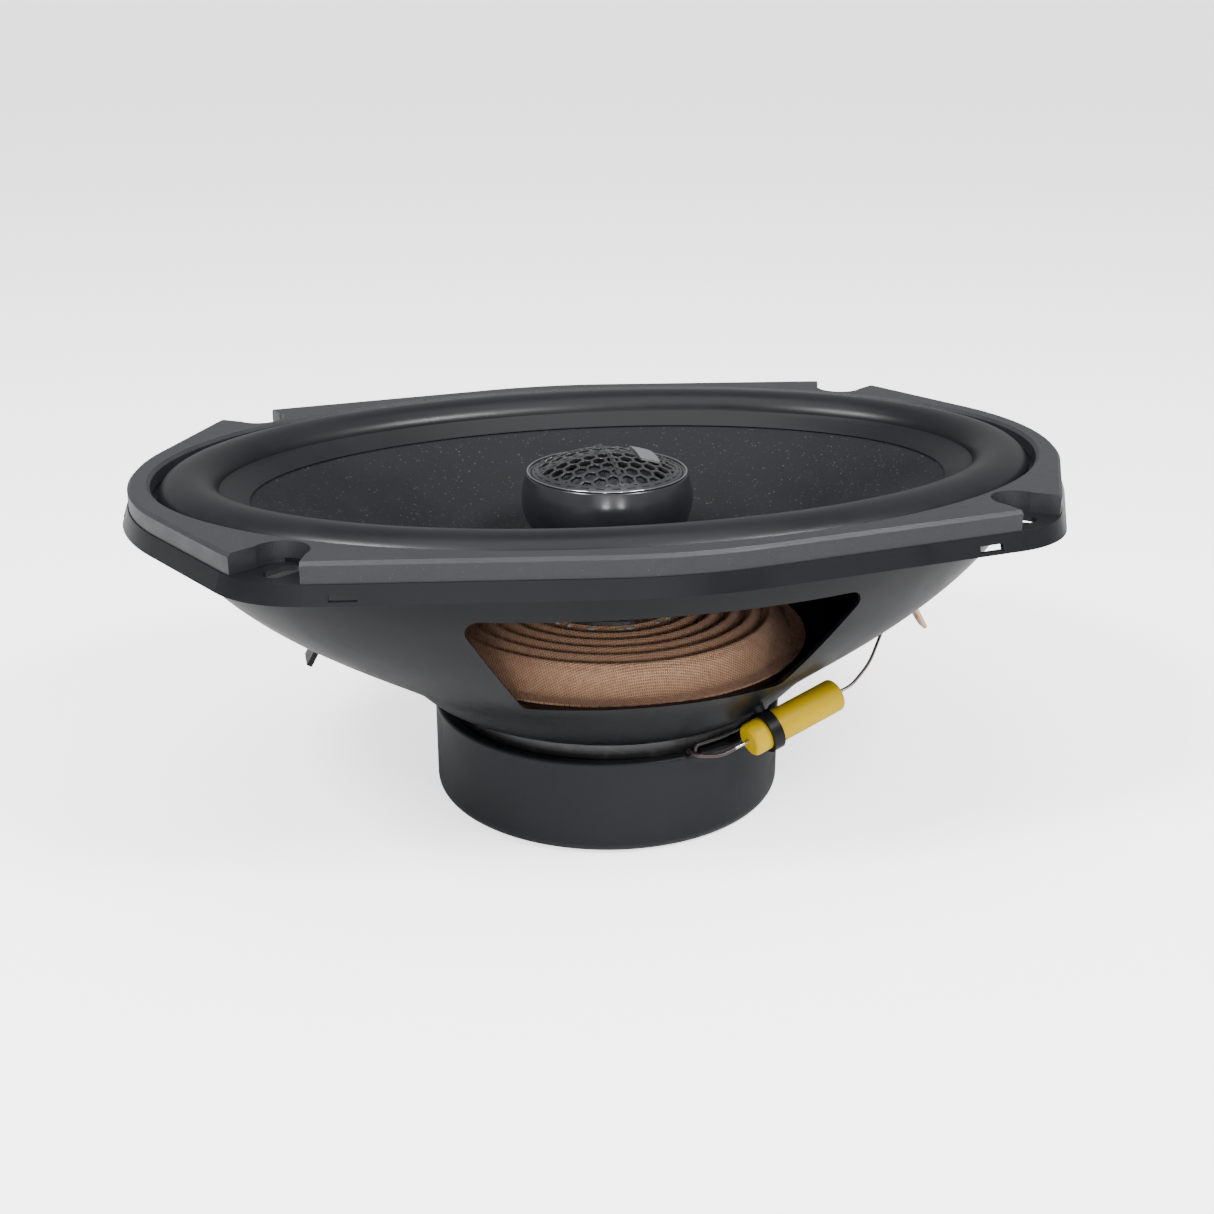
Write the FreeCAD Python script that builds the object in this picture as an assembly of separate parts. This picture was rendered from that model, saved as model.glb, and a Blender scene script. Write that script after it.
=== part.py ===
import FreeCAD, Part
import math
import os

# Coaxial 6 x 9 inch car speaker, face up. Millimetres.
# Origin: centre of the mounting plane (the lower edge of the flange's lip).
# +Z: the way the sound leaves. +X: the long axis, towards the terminals.

# ---- flange and basket ----
OVERALL_LENGTH = 237.0          # over the lip, along X
OVERALL_WIDTH = 163.4           # over the lip, along Y
SIDE_SLOPE = 9.43               # degrees, long edges from X
END_SLOPE = 26.57               # degrees, end edges from Y
SIDE_CROWN_RADIUS = 110.0
END_CROWN_RADIUS = 64.0
CORNER_RADIUS = 24.0
SHEET = 1.2                     # basket wall
LIP_HEIGHT = 4.2                # mounting plane to the top of the flange plate
LIP_FLARE = 1.5                 # how far the lip leans outwards
BOWL_END_MARGIN = 8.2           # lip to the outside of the bowl, along X
BOWL_SIDE_MARGIN = 9.4          # the same along Y
BOWL_DEPTH = 52.0               # mounting plane to the basket's seat on the top plate
CUP_RADIUS = 42.0               # outside radius of the round bottom of the bowl
LEDGE_DEPTH = 37.8              # mounting plane to the spider's ledge
LEDGE_WIDTH = 7.0
WINDOW_TOP = -9.5
WINDOW_TOP_HALF = 48.0
WINDOW_BOTTOM_HALF = 31.0
WINDOW_SILL = 0.8               # web left between the window and the ledge
WINDOW_CORNER = 3.0
SLOT_END_MARGIN = 35.0          # lip to the centres of the four screw slots, along X
SLOT_ANGLE = 38.7               # degrees from X
SLOT_WIDTH = 5.1
SLOT_LENGTH = 9.0
CLIP_SLOT_MARGIN = 46.5         # lip's end to the slits for a grille's clips
CLIP_SLOT_WIDTH = 6.0
CLIP_SLOT_HEIGHT = 1.5
END_NOTCH_WIDTH = 5.0
END_NOTCH_DEPTH = 0.8

# ---- trim gasket ----
TRIM_INSET = 1.8                # from the lip's lower edge
TRIM_HEIGHT = 4.8
TRIM_BEVEL = 0.8
TRIM_END_MARGIN = 7.0           # lip to the opening, along X
TRIM_SIDE_MARGIN = 8.3          # the same along Y
TRIM_NOTCH_RADIUS = 6.3
TRIM_WEB = 3.8                  # ring left between a bay and the opening, along Y
REBATE = 2.6                    # the gasket's ledge over the surround's outer flange

# ---- cone, surround, spider ----
RUBBER = 0.7                    # thickness of the surround
ROLL_WIDTH = 14.4
ROLL_HEIGHT = 5.4
CONE_PAPER = 0.9
CONE_DEPTH = 30.2
CONE_SAG = 1.6                  # how far the cone's side curves below a straight line
NECK_HEIGHT = 3.0
GLUE_SHARE = 0.085              # share of the cone's slope under the surround's inner flange
CLOTH = 0.5                     # thickness of the spider
SPIDER_FLANGE_GAP = 2.4         # ledge's outside to the spider's edge
SPIDER_WALL_RISE = 6.0
SPIDER_WALL_RUN = 2.6
SPIDER_ROLLS = 5
SPIDER_ROLL_HEIGHT = 1.3
SPIDER_COLLAR = 1.5
SOFT_GAP = 0.15                 # between a soft piece and what it is glued to

# ---- woofer motor ----
FORMER_INNER = 17.4
FORMER_WALL = 0.3
WINDING_WALL = 0.7
WINDING_HEIGHT = 14.0
POLE_GAP = 0.5                  # pole to former
PLATE_GAP = 0.6                 # winding to top plate
TOP_PLATE_THICKNESS = 5.0
TOP_PLATE_RADIUS = 41.0
FERRITE_RADIUS = 43.0
FERRITE_THICKNESS = 16.0
FERRITE_BORE = 23.0
BACK_PLATE_THICKNESS = 5.5
BACK_PLATE_RADIUS = 41.0
POLE_ABOVE_PLATE = 1.0
BOOT_WALL = 2.2
BOOT_FLOOR = 1.5
BOOT_TOP_DROP = 3.4             # top of the boot below the basket's seat
BOOT_OPENING = 27.0
BOOT_EDGE = 3.5
BOOT_LIP = 0.9
SEAT_HOLE = 24.0                # hole in the basket's seat round the coil
RIVET_CIRCLE = 33.0
RIVET_RADIUS = 2.2
RIVET_HEAD = 4.0
RIVET_HEAD_HEIGHT = 1.4
RIVET_DEPTH = 3.0               # into the top plate
EDGE_CHAMFER = 0.8              # pole and ferrite
BOOT_STEP = 1.4                 # the back plate's seat in the boot, inside the ferrite's

# ---- tweeter ----
POD_RIM_Z = 4.6
POD_RIM_RADIUS = 20.4
POD_BELLY_RADIUS = 22.2
POD_BELLY_Z = -1.5
POD_BASE_Z = -13.0
POST_RADIUS = 11.0
POD_POCKET = 19.25              # pocket for face ring and grille
POD_CAVITY = 17.5               # cavity round the tweeter's motor
POD_CAVITY_Z = -10.5
POCKET_FLOOR = -0.4             # seat of the tweeter in the pod
TWEETER_CUP_RADIUS = 13.6
TWEETER_CUP_INNER = 11.2
TWEETER_CUP_FLOOR = 2.0
TWEETER_MAGNET_RADIUS = 9.6
TWEETER_MAGNET_HEIGHT = 4.0
TWEETER_PLATE_RADIUS = 10.0
TWEETER_PLATE_HEIGHT = 2.0
TWEETER_COIL_INNER = 10.35
TWEETER_COIL_WALL = 0.4
TWEETER_COIL_HEIGHT = 3.5
FACE_RING_INNER = 12.8
FACE_RING_HEIGHT = 1.2
DOME_RISE = 4.2
FOIL = 0.3                      # dome and its small surround
GRILLE_RISE = 5.2
GRILLE_WALL = 0.8
GRILLE_PITCH = 3.5
GRILLE_WEB = 0.8
GRILLE_RIB = 1.3
GRILLE_BAND = 2.4               # unpierced band inside the grille's edge
GRILLE_LIFT = 0.5               # grille's foot above the face ring
BADGE_CORNER = 0.8
RIM_RING_HEIGHT = 0.5
BADGE_X = 9.8
BADGE_WIDTH = 5.2
BADGE_LENGTH = 12.0
BADGE_THICKNESS = 0.7
STUD_RADIUS = 4.0
STUD_BORE = 2.3
STUD_ENGAGED = 15.0
STUD_GAP = 0.2
NUT_FLATS = 13.0
NUT_HEIGHT = 3.0
WASHER_RADIUS = 8.5
WASHER_THICKNESS = 0.8
RECESS_GAP = 0.6
INSERT_WALL = 1.8

# ---- terminals, capacitor, leads ----
PAD_MARGIN = 33.3               # bowl's rim to the middle of the terminal pad, along X
PAD_WIDTH = 26.0
PAD_LENGTH = 17.0
PAD_PROUD = 1.8
STRIP_THICKNESS = 1.6
STRIP_MARGIN = 1.0
BLADE_THICKNESS = 0.8
BLADE_POSITIVE = 6.3
BLADE_NEGATIVE = 4.8
BLADE_LENGTH = 9.0
BLADE_Y = 7.0
BLADE_HOLE = 0.7
BLADE_HOLE_SHARE = 0.6          # of the blade's length
BLADE_CHAMFER = 0.2             # of the blade's width
TAG_LENGTH = 9.0
TAG_RIVET_RADIUS = 1.3
TAG_RIVET_HEAD = 2.2
TAG_RIVET_PROUD = 0.8
INNER_FACE = 1.9                # pad's seat side to the rivets' inner heads
CLIP_MARGIN = 40.3              # bowl's rim to the middle of the small clip, along X
CLIP_WIDTH = 9.0
CLIP_LENGTH = 10.0
CLIP_THICKNESS = 1.4
CLIP_HOOK = 4.0
CAPACITOR_RADIUS = 4.2
CAPACITOR_LENGTH = 27.0
CAPACITOR_GAP = 0.6             # boot to the capacitor's near end
CAPACITOR_ANGLES = (-59.33, -35.13)         # degrees from X, its two ends
CAPACITOR_SPREAD = 11.9         # how much further out its far end is
CAPACITOR_DROP = 1.5            # its near end below the basket's seat
CAPACITOR_RISE = 5.6            # its far end above the basket's seat
STRAP_STEM = 18.0
STRAP_WIDTH = 3.0
STRAP_THICKNESS = 1.0
LEAD_RADIUS = 0.45
WIRE_RADIUS = 0.5
TINSEL_RADIUS = 0.6
WIRE_SPREAD = 1.1               # half the distance between the two tweeter wires
CHANNEL_ANGLE = -75.0           # degrees from X, channel for the wires in the boot
CHANNEL_WIDTH = 5.0
CHANNEL_DEPTH = 1.4
EYELET_RADIUS = 1.1
EYELET_LENGTH = 1.6
EYELET_ANGLE = 45.0
EYELET_Z = -27.6
STRAP_PLACE = 4.5               # along the capacitor
INNER_LEAD = 4.0
OUTER_LEAD = 5.0                # straight start of the lead at the terminal's end
LEAD_WAY = ((0.363, 0.267, 0.31), (0.706, 0.67, 0.60))      # shares of the way to the terminal
WIRE_WAY = ((0.329, 0.40, 0.305), (0.629, 0.68, 0.63), (0.829, 0.893, 0.825))
WIRE_ROUND_CUP = (-64, -50, -36, -22)       # degrees
WIRE_BENDS = {1: 1.6, 2: 1.6, 3: 1.6, 6: 2.0, 7: 1.2}       # bend radius at each corner
TINSEL_WAY = ((0.777, 11.5, -20.0), (0.5655, 15.5, -22.0), (0.37, 18.5, -25.0))
TINSEL_RISE = 4.5               # how far a tinsel lead stands off the rivet before it turns

# ---- levels worked out from the sizes above ----
PLATE_TOP = LIP_HEIGHT
PLATE_UNDER = LIP_HEIGHT - SHEET
SEAT_Z = -BOWL_DEPTH
SEAT_TOP = SEAT_Z + SHEET
LEDGE_Z = -LEDGE_DEPTH
TOP_PLATE_UNDER = SEAT_Z - TOP_PLATE_THICKNESS
FERRITE_UNDER = TOP_PLATE_UNDER - FERRITE_THICKNESS
BACK_Z = FERRITE_UNDER - BACK_PLATE_THICKNESS
BOTTOM_Z = BACK_Z - BOOT_FLOOR
POLE_TOP = SEAT_Z + POLE_ABOVE_PLATE
FORMER_OUTER = FORMER_INNER + FORMER_WALL
WINDING_OUTER = FORMER_OUTER + WINDING_WALL
POLE_RADIUS = FORMER_INNER - POLE_GAP
PLATE_BORE = WINDING_OUTER + PLATE_GAP
GAP_MIDDLE = SEAT_Z - TOP_PLATE_THICKNESS / 2
WINDING_UNDER = GAP_MIDDLE - WINDING_HEIGHT / 2
BOWL_A = OVERALL_LENGTH / 2 - BOWL_END_MARGIN
BOWL_B = OVERALL_WIDTH / 2 - BOWL_SIDE_MARGIN
TRIM_A = OVERALL_LENGTH / 2 - TRIM_END_MARGIN
TRIM_B = OVERALL_WIDTH / 2 - TRIM_SIDE_MARGIN
SLOT_X = OVERALL_LENGTH / 2 - SLOT_END_MARGIN
SLOT_Y = TRIM_B * math.sqrt(1 - (SLOT_X / TRIM_A) ** 2) + TRIM_NOTCH_RADIUS + TRIM_WEB
CLIP_SLOT_X = OVERALL_LENGTH / 2 - CLIP_SLOT_MARGIN
PAD_X = BOWL_A - PAD_MARGIN
CLIP_X = CLIP_MARGIN - BOWL_A
ROLL_A = TRIM_A - 1.5
ROLL_B = TRIM_B - 1.5
CONE_A = ROLL_A - ROLL_WIDTH
CONE_B = ROLL_B - ROLL_WIDTH
CONE_RIM = PLATE_TOP
CONE_NECK_Z = CONE_RIM - CONE_DEPTH
NUT_RECESS = NUT_HEIGHT + WASHER_THICKNESS + RECESS_GAP
TAG_REACH = TWEETER_CUP_RADIUS + 2.0
BOOT_TOP = SEAT_Z - BOOT_TOP_DROP
RISER = FERRITE_RADIUS + WIRE_RADIUS + 0.15
SOLDER_Z = -PAD_PROUD - STRIP_THICKNESS - BLADE_THICKNESS - LEAD_RADIUS - SOFT_GAP
FACE_TOP = POCKET_FLOOR + FACE_RING_HEIGHT
RIVET_UNDER = SEAT_Z - RIVET_DEPTH
GRILLE_OUTER = POD_POCKET - 0.05


def vec(x, y, z):
    return FreeCAD.Vector(x, y, z)


# ---------------------------------------------------------------- helpers
def ellipse(a, b, z):
    """Closed wire: an ellipse, or a circle where both radii agree."""
    if abs(a - b) < 1e-6:
        curve = Part.Circle(vec(0, 0, z), vec(0, 0, 1), a)
    else:
        curve = Part.Ellipse(vec(0, 0, z), a, b)
    return Part.Wire([curve.toShape()])


def oval_block(stations, ruled=False):
    """Solid through ellipses (a, b, z) stacked along Z."""
    return Part.makeLoft([ellipse(*s) for s in stations], True, ruled)


def ring_skin(runs):
    """Closed ring whose section is made of runs of ellipses (a, b, z), each
    run starting where the one before it ends."""
    faces = []
    for run in runs:
        faces += Part.makeLoft([ellipse(*s) for s in run], False, len(run) == 2).Faces
    shell = Part.makeShell(faces)
    shell.sewShape()
    solid = Part.makeSolid(shell)
    if solid.Volume < 0:
        solid.reverse()
    return solid


def tube(outer, inner, low, high):
    body = Part.makeCylinder(outer, high - low, vec(0, 0, low))
    bore = Part.makeCylinder(inner, high - low + 2, vec(0, 0, low - 1))
    return body.cut(bore)


def disc(radius, low, high, x=0.0, y=0.0):
    return Part.makeCylinder(radius, high - low, vec(x, y, low))


def turned(points):
    """Solid of revolution about Z of a closed outline of (r, z) points."""
    corners = [vec(r, 0, z) for r, z in points]
    face = Part.Face(Part.makePolygon(corners + corners[:1]))
    return face.revolve(vec(0, 0, 0), vec(0, 0, 1), 360)


def rounded_outline(points, radius):
    """Closed wire through points, its corners turned with tangent arcs."""
    corners = [vec(*p) for p in points]
    edges = []
    starts = []
    ends = []
    count = len(corners)
    for i, corner in enumerate(corners):
        back = (corners[i - 1] - corner).normalize()
        ahead = (corners[(i + 1) % count] - corner).normalize()
        half = back.getAngle(ahead) / 2
        reach = radius / math.tan(half)
        middle = (back + ahead).normalize() * (radius / math.sin(half) - radius)
        starts.append(corner + back * reach)
        ends.append(corner + ahead * reach)
        edges.append(Part.Arc(starts[i], corner + middle, ends[i]).toShape())
    for i in range(count):
        edges.append(Part.makeLine(ends[i], starts[(i + 1) % count]))
    return Part.Wire(Part.__sortEdges__(edges))


def wire_path(points, limits):
    """Straight runs joined by tangent arcs, each as large as its runs allow,
    or of the radius that limits gives for that corner."""
    corners = [vec(*p) for p in points]
    edges = []
    radii = []
    here = corners[0]
    for i, (before, corner, after) in enumerate(zip(corners, corners[1:], corners[2:]), start=1):
        back = before - corner
        ahead = after - corner
        reach = 0.45 * min(back.Length, ahead.Length)
        back.normalize()
        ahead.normalize()
        half = back.getAngle(ahead) / 2
        radius = limits.get(i, reach * math.tan(half))
        reach = radius / math.tan(half)
        middle = (back + ahead).normalize() * (radius / math.sin(half) - radius)
        start = corner + back * reach
        finish = corner + ahead * reach
        edges.append(Part.makeLine(here, start))
        edges.append(Part.Arc(start, corner + middle, finish).toShape())
        radii.append(radius)
        here = finish
    edges.append(Part.makeLine(here, corners[-1]))
    return Part.Wire(edges), radii


def lead(name, points, radius, limits=None):
    """Round lead along a route; prints its bend radii and its length."""
    path, radii = wire_path(points, limits or {})
    first = vec(*points[0])
    heading = (vec(*points[1]) - first).normalize()
    section = Part.Wire([Part.Circle(first, heading, radius).toShape()])
    solid = path.makePipeShell([section], True, False)
    ideal = math.pi * radius ** 2 * path.Length
    bends = " ".join("%.1f" % r for r in radii)
    facts = (name, path.Length, bends, solid.Volume / ideal)
    print("%s: length %.1f, bends %s, volume ratio %.4f" % facts)
    return solid


def in_channel(along, across, z):
    """A point given along and across the line of the boot's wire channel."""
    turn = math.radians(CHANNEL_ANGLE)
    x = along * math.cos(turn) - across * math.sin(turn)
    y = along * math.sin(turn) + across * math.cos(turn)
    return (x, y, z)


def polar(radius, angle, z):
    turn = math.radians(angle)
    return (radius * math.cos(turn), radius * math.sin(turn), z)


def mirrored(shape, normal):
    return shape.mirror(vec(0, 0, 0), normal)


def four_corners(shape):
    """The shape and its mirror images in the XZ plane, the YZ plane and both."""
    pair = [shape, mirrored(shape, vec(1, 0, 0))]
    return pair + [mirrored(s, vec(0, 1, 0)) for s in pair]


def rims_at(shape, z):
    """The level edges of a shape at a height."""
    return [e for e in shape.Edges if e.BoundBox.ZLength < 0.01 and abs(e.BoundBox.ZMin - z) < 0.01]


def plain_solid(shape):
    """A shape of one solid as that solid, of more as a group."""
    solids = shape.Solids
    return solids[0] if len(solids) == 1 else Part.makeCompound(solids)


# ---------------------------------------------------------------- outline
def flange_outline(inset, z):
    """The flange's eight-sided outline, moved inwards by inset."""
    side = math.radians(SIDE_SLOPE)
    end = math.radians(END_SLOPE)
    side_out = (math.sin(side), math.cos(side))
    end_out = (math.cos(end), math.sin(end))
    side_reach = (OVERALL_WIDTH / 2 - SIDE_CROWN_RADIUS) * math.cos(side)
    side_reach += SIDE_CROWN_RADIUS - CORNER_RADIUS
    end_reach = (OVERALL_LENGTH / 2 - END_CROWN_RADIUS) * math.cos(end)
    end_reach += END_CROWN_RADIUS - CORNER_RADIUS
    det = side_out[0] * end_out[1] - side_out[1] * end_out[0]
    corner = ((side_reach * end_out[1] - end_reach * side_out[1]) / det,
              (side_out[0] * end_reach - end_out[0] * side_reach) / det)
    side_centre = (0.0, OVERALL_WIDTH / 2 - SIDE_CROWN_RADIUS)
    end_centre = (OVERALL_LENGTH / 2 - END_CROWN_RADIUS, 0.0)

    def at(centre, radius, way):
        return (centre[0] + (radius - inset) * way[0], centre[1] + (radius - inset) * way[1])

    def point(place, sx, sy):
        return vec(sx * place[0], sy * place[1], z)

    side_end = at(side_centre, SIDE_CROWN_RADIUS, side_out)
    corner_start = at(corner, CORNER_RADIUS, side_out)
    spread = (side_out[0] + end_out[0], side_out[1] + end_out[1])
    length = math.hypot(*spread)
    corner_middle = at(corner, CORNER_RADIUS, (spread[0] / length, spread[1] / length))
    corner_end = at(corner, CORNER_RADIUS, end_out)
    end_start = at(end_centre, END_CROWN_RADIUS, end_out)
    side_top = at(side_centre, SIDE_CROWN_RADIUS, (0.0, 1.0))
    end_tip = at(end_centre, END_CROWN_RADIUS, (1.0, 0.0))
    edges = []
    for sx, sy in ((1, 1), (1, -1), (-1, -1), (-1, 1)):
        edges.append(Part.makeLine(point(side_end, sx, sy), point(corner_start, sx, sy)))
        corner_points = [point(p, sx, sy) for p in (corner_start, corner_middle, corner_end)]
        edges.append(Part.Arc(*corner_points).toShape())
        edges.append(Part.makeLine(point(corner_end, sx, sy), point(end_start, sx, sy)))
    for s in (1, -1):
        top = [point(side_end, 1, s), point(side_top, 1, s), point(side_end, -1, s)]
        tip = [point(end_start, s, 1), point(end_tip, s, 1), point(end_start, s, -1)]
        edges.append(Part.Arc(*top).toShape())
        edges.append(Part.Arc(*tip).toShape())
    return Part.Wire(Part.__sortEdges__(edges))


def outline_block(low_inset, low, high_inset, high):
    return Part.makeLoft([flange_outline(low_inset, low), flange_outline(high_inset, high)], True, True)


# ---------------------------------------------------------------- basket
# shares of the depth, and of the draw from the flange to the cup along X and along Y
BOWL_SHAPE = (
    (0.00, 0.000, 0.000),
    (0.07, 0.030, 0.045),
    (0.20, 0.070, 0.115),
    (0.36, 0.170, 0.235),
    (0.54, 0.350, 0.395),
    (0.74, 0.640, 0.610),
    (0.88, 0.830, 0.810),
    (1.00, 1.000, 1.000),
)
WALL_LIFT = 0.6                 # share of the wall that the inside is raised by


def bowl_stations(wall):
    """Ellipses down the bowl: steep under the flange, flatter at the ends,
    and round where it meets the top plate. A wall moves them in and up."""
    top = PLATE_UNDER + 0.4
    stations = []
    for depth, draw_a, draw_b in BOWL_SHAPE:
        a = BOWL_A + (CUP_RADIUS - BOWL_A) * draw_a - wall
        b = BOWL_B + (CUP_RADIUS - BOWL_B) * draw_b - wall
        stations.append((a, b, top + (SEAT_Z - top) * depth + WALL_LIFT * wall))
    return stations


def bowl_half_width(z):
    """Half width of the bowl's outside at a height."""
    stations = [(b, height) for a, b, height in bowl_stations(0.0)]
    for (b0, z0), (b1, z1) in zip(stations, stations[1:]):
        if z >= z1:
            return b0 + (b1 - b0) * (z0 - z) / (z0 - z1)
    return CUP_RADIUS


LEDGE_OUTER = bowl_half_width(LEDGE_Z)
LEDGE_INNER = LEDGE_OUTER - LEDGE_WIDTH


def bowl_outside():
    return oval_block(bowl_stations(0.0))


def bowl_inside():
    """The space inside the bowl, open at the top and down to the seat."""
    stations = bowl_stations(SHEET)
    space = oval_block(stations)
    floor = Part.makeBox(300, 300, 20, vec(-150, -150, SEAT_TOP - 20))
    mouth_a, mouth_b, mouth_z = stations[0]
    mouth = oval_block([(mouth_a, mouth_b, mouth_z - 0.2), (mouth_a, mouth_b, PLATE_TOP + 1)], True)
    return space.cut(floor).fuse(mouth)


def spider_ledge(outside):
    step = tube(LEDGE_OUTER, LEDGE_OUTER - SHEET, SEAT_Z, LEDGE_Z)
    shelf = tube(LEDGE_OUTER, LEDGE_INNER, LEDGE_Z - SHEET, LEDGE_Z)
    return step.fuse(shelf).common(outside)


def window_cutter():
    sill = LEDGE_Z + WINDOW_SILL
    corners = [(-WINDOW_TOP_HALF, 0, WINDOW_TOP), (WINDOW_TOP_HALF, 0, WINDOW_TOP),
               (WINDOW_BOTTOM_HALF, 0, sill), (-WINDOW_BOTTOM_HALF, 0, sill)]
    face = Part.Face(rounded_outline(corners, WINDOW_CORNER))
    return face.extrude(vec(0, OVERALL_WIDTH / 2, 0))


def slot_cutter(width, length, low, high):
    straight = length - width
    bar = Part.makeBox(straight, width, high - low, vec(-straight / 2, -width / 2, low))
    ends = [disc(width / 2, low, high, s * straight / 2) for s in (-1, 1)]
    slot = bar.multiFuse(ends).removeSplitter()
    slot.rotate(vec(0, 0, 0), vec(0, 0, 1), SLOT_ANGLE)
    slot.translate(vec(SLOT_X, SLOT_Y, 0))
    return slot


def clip_slot_cutter():
    """Slit through the lip for one clip of a grille."""
    side = math.radians(SIDE_SLOPE)
    side_y = (OVERALL_WIDTH / 2 - SIDE_CROWN_RADIUS) + SIDE_CROWN_RADIUS / math.cos(side)
    depth = 2 * SHEET + LIP_FLARE
    low = (LIP_HEIGHT - SHEET - CLIP_SLOT_HEIGHT) / 2
    corner = vec(-CLIP_SLOT_WIDTH / 2, -depth, low)
    slit = Part.makeBox(CLIP_SLOT_WIDTH, 2 * depth, CLIP_SLOT_HEIGHT, corner)
    slit.rotate(vec(0, 0, 0), vec(0, 0, 1), -SIDE_SLOPE)
    slit.translate(vec(CLIP_SLOT_X, side_y - CLIP_SLOT_X * math.tan(side), 0))
    return slit


def end_notch_cutter():
    low = vec(OVERALL_LENGTH / 2 - END_NOTCH_DEPTH, -END_NOTCH_WIDTH / 2, -1)
    return Part.makeBox(10, END_NOTCH_WIDTH, 1 + LIP_HEIGHT, low)


def end_slope(x):
    """A point on the bowl's outside at the +X end, and the slope's angle there."""
    stations = [(a, z) for a, b, z in bowl_stations(0.0)]
    spans = [span for span in zip(stations, stations[1:]) if span[0][0] >= x]
    (a0, z0), (a1, z1) = spans[-1]
    share = (a0 - x) / (a0 - a1)
    return z0 + (z1 - z0) * share, math.atan2(z0 - z1, a0 - a1)


def on_slope(shape, x, mirror=False):
    """Stand a shape, drawn flat under the XY plane, against the end slope at x.
    Local +X runs up the slope, local -Z points away from the bowl."""
    z, angle = end_slope(abs(x))
    placed = shape.copy()
    placed.rotate(vec(0, 0, 0), vec(0, 1, 0), -math.degrees(angle))
    placed.translate(vec(abs(x), 0, z))
    return mirrored(placed, vec(1, 0, 0)) if mirror else placed


def slab(length, width, low, high, x=0.0, y=0.0):
    return Part.makeBox(length, width, high - low, vec(x - length / 2, y - width / 2, low))


def terminal_pad():
    """Raised seat on the end slope that the terminal strip is riveted to."""
    return on_slope(slab(PAD_LENGTH, PAD_WIDTH, -PAD_PROUD, 4.0), PAD_X)


def clip_pad():
    return on_slope(slab(CLIP_LENGTH, CLIP_WIDTH, -PAD_PROUD, 3.0), CLIP_X, mirror=True)


def tag_rivet_hole(y):
    return on_slope(disc(TAG_RIVET_RADIUS, -PAD_PROUD - 5, 8, 0, y), PAD_X)


def basket():
    lip = outline_block(0.0, 0.0, LIP_FLARE, PLATE_TOP)
    hollow = outline_block(SHEET, 0.0, SHEET + LIP_FLARE * PLATE_UNDER / LIP_HEIGHT, PLATE_UNDER)
    outside = bowl_outside()
    inside = bowl_inside()
    shell = lip.cut(hollow).fuse(outside)
    pads = terminal_pad().fuse(clip_pad())
    shell = shell.fuse(pads).cut(inside).fuse(spider_ledge(outside))
    window = window_cutter()
    cutters = [window, mirrored(window, vec(0, 1, 0))]
    cutters += four_corners(slot_cutter(SLOT_WIDTH, SLOT_LENGTH, -1, PLATE_TOP + 1))
    cutters += four_corners(clip_slot_cutter())
    notch = end_notch_cutter()
    cutters += [notch, mirrored(notch, vec(1, 0, 0))]
    cutters.append(disc(SEAT_HOLE, SEAT_Z - 1, SEAT_TOP + 1))
    for turn in range(4):
        x, y, _ = polar(RIVET_CIRCLE, 45 + 90 * turn, 0)
        cutters.append(disc(RIVET_RADIUS, SEAT_Z - 1, SEAT_TOP + 1, x, y))
    for side in (-1, 1):
        cutters.append(tag_rivet_hole(side * BLADE_Y))
    cutters.append(on_slope(disc(TAG_RIVET_RADIUS, -PAD_PROUD - 5, 8), CLIP_X, mirror=True))
    return shell.cut(cutters)


# ---------------------------------------------------------------- trim
def notch_cutter():
    """The bay that leaves a screw slot open: round behind, flared at the mouth."""
    low = PLATE_TOP - 1
    high = PLATE_TOP + TRIM_HEIGHT + 1
    round_part = disc(TRIM_NOTCH_RADIUS, low, high)
    reach = TRIM_NOTCH_RADIUS
    mouth = [vec(0, -reach, low), vec(reach * 0.75, -reach * 1.25, low), vec(reach * 3, -reach * 2.1, low),
             vec(reach * 3, reach * 2.1, low), vec(reach * 0.75, reach * 1.25, low), vec(0, reach, low)]
    flare = Part.Face(Part.makePolygon(mouth + mouth[:1])).extrude(vec(0, 0, high - low))
    bay = round_part.fuse(flare).removeSplitter()
    mouth_turn = 90 - (SIDE_SLOPE + 90 - END_SLOPE) / 2
    bay.rotate(vec(0, 0, 0), vec(0, 0, 1), mouth_turn)
    bay.translate(vec(SLOT_X, SLOT_Y, 0))
    return bay


def trim_gasket():
    top = PLATE_TOP + TRIM_HEIGHT
    side = outline_block(TRIM_INSET, PLATE_TOP, TRIM_INSET, top - TRIM_BEVEL)
    crown = outline_block(TRIM_INSET, top - TRIM_BEVEL, TRIM_INSET + TRIM_BEVEL, top)
    opening = oval_block([(TRIM_A, TRIM_B, PLATE_TOP - 1), (TRIM_A, TRIM_B, top + 1)], True)
    flare_foot = (TRIM_A, TRIM_B, top - TRIM_BEVEL)
    flare = oval_block([flare_foot, (TRIM_A + TRIM_BEVEL, TRIM_B + TRIM_BEVEL, top)], True)
    rebate_a = TRIM_A + REBATE
    rebate_b = TRIM_B + REBATE
    rebate_top = PLATE_TOP + RUBBER + SOFT_GAP
    rebate = oval_block([(rebate_a, rebate_b, PLATE_TOP - 1), (rebate_a, rebate_b, rebate_top)], True)
    ring = side.fuse(crown).cut([opening, flare, rebate])
    return ring.cut(four_corners(notch_cutter()))


# ---------------------------------------------------------------- soft parts
def cone_station(share, lift):
    a = CONE_A + (FORMER_OUTER - CONE_A) * share
    b = CONE_B + (FORMER_OUTER - CONE_B) * share
    sag = CONE_SAG * math.sin(math.pi * share)
    return (a, b, CONE_RIM + (CONE_NECK_Z - CONE_RIM) * share + lift - sag)


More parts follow.
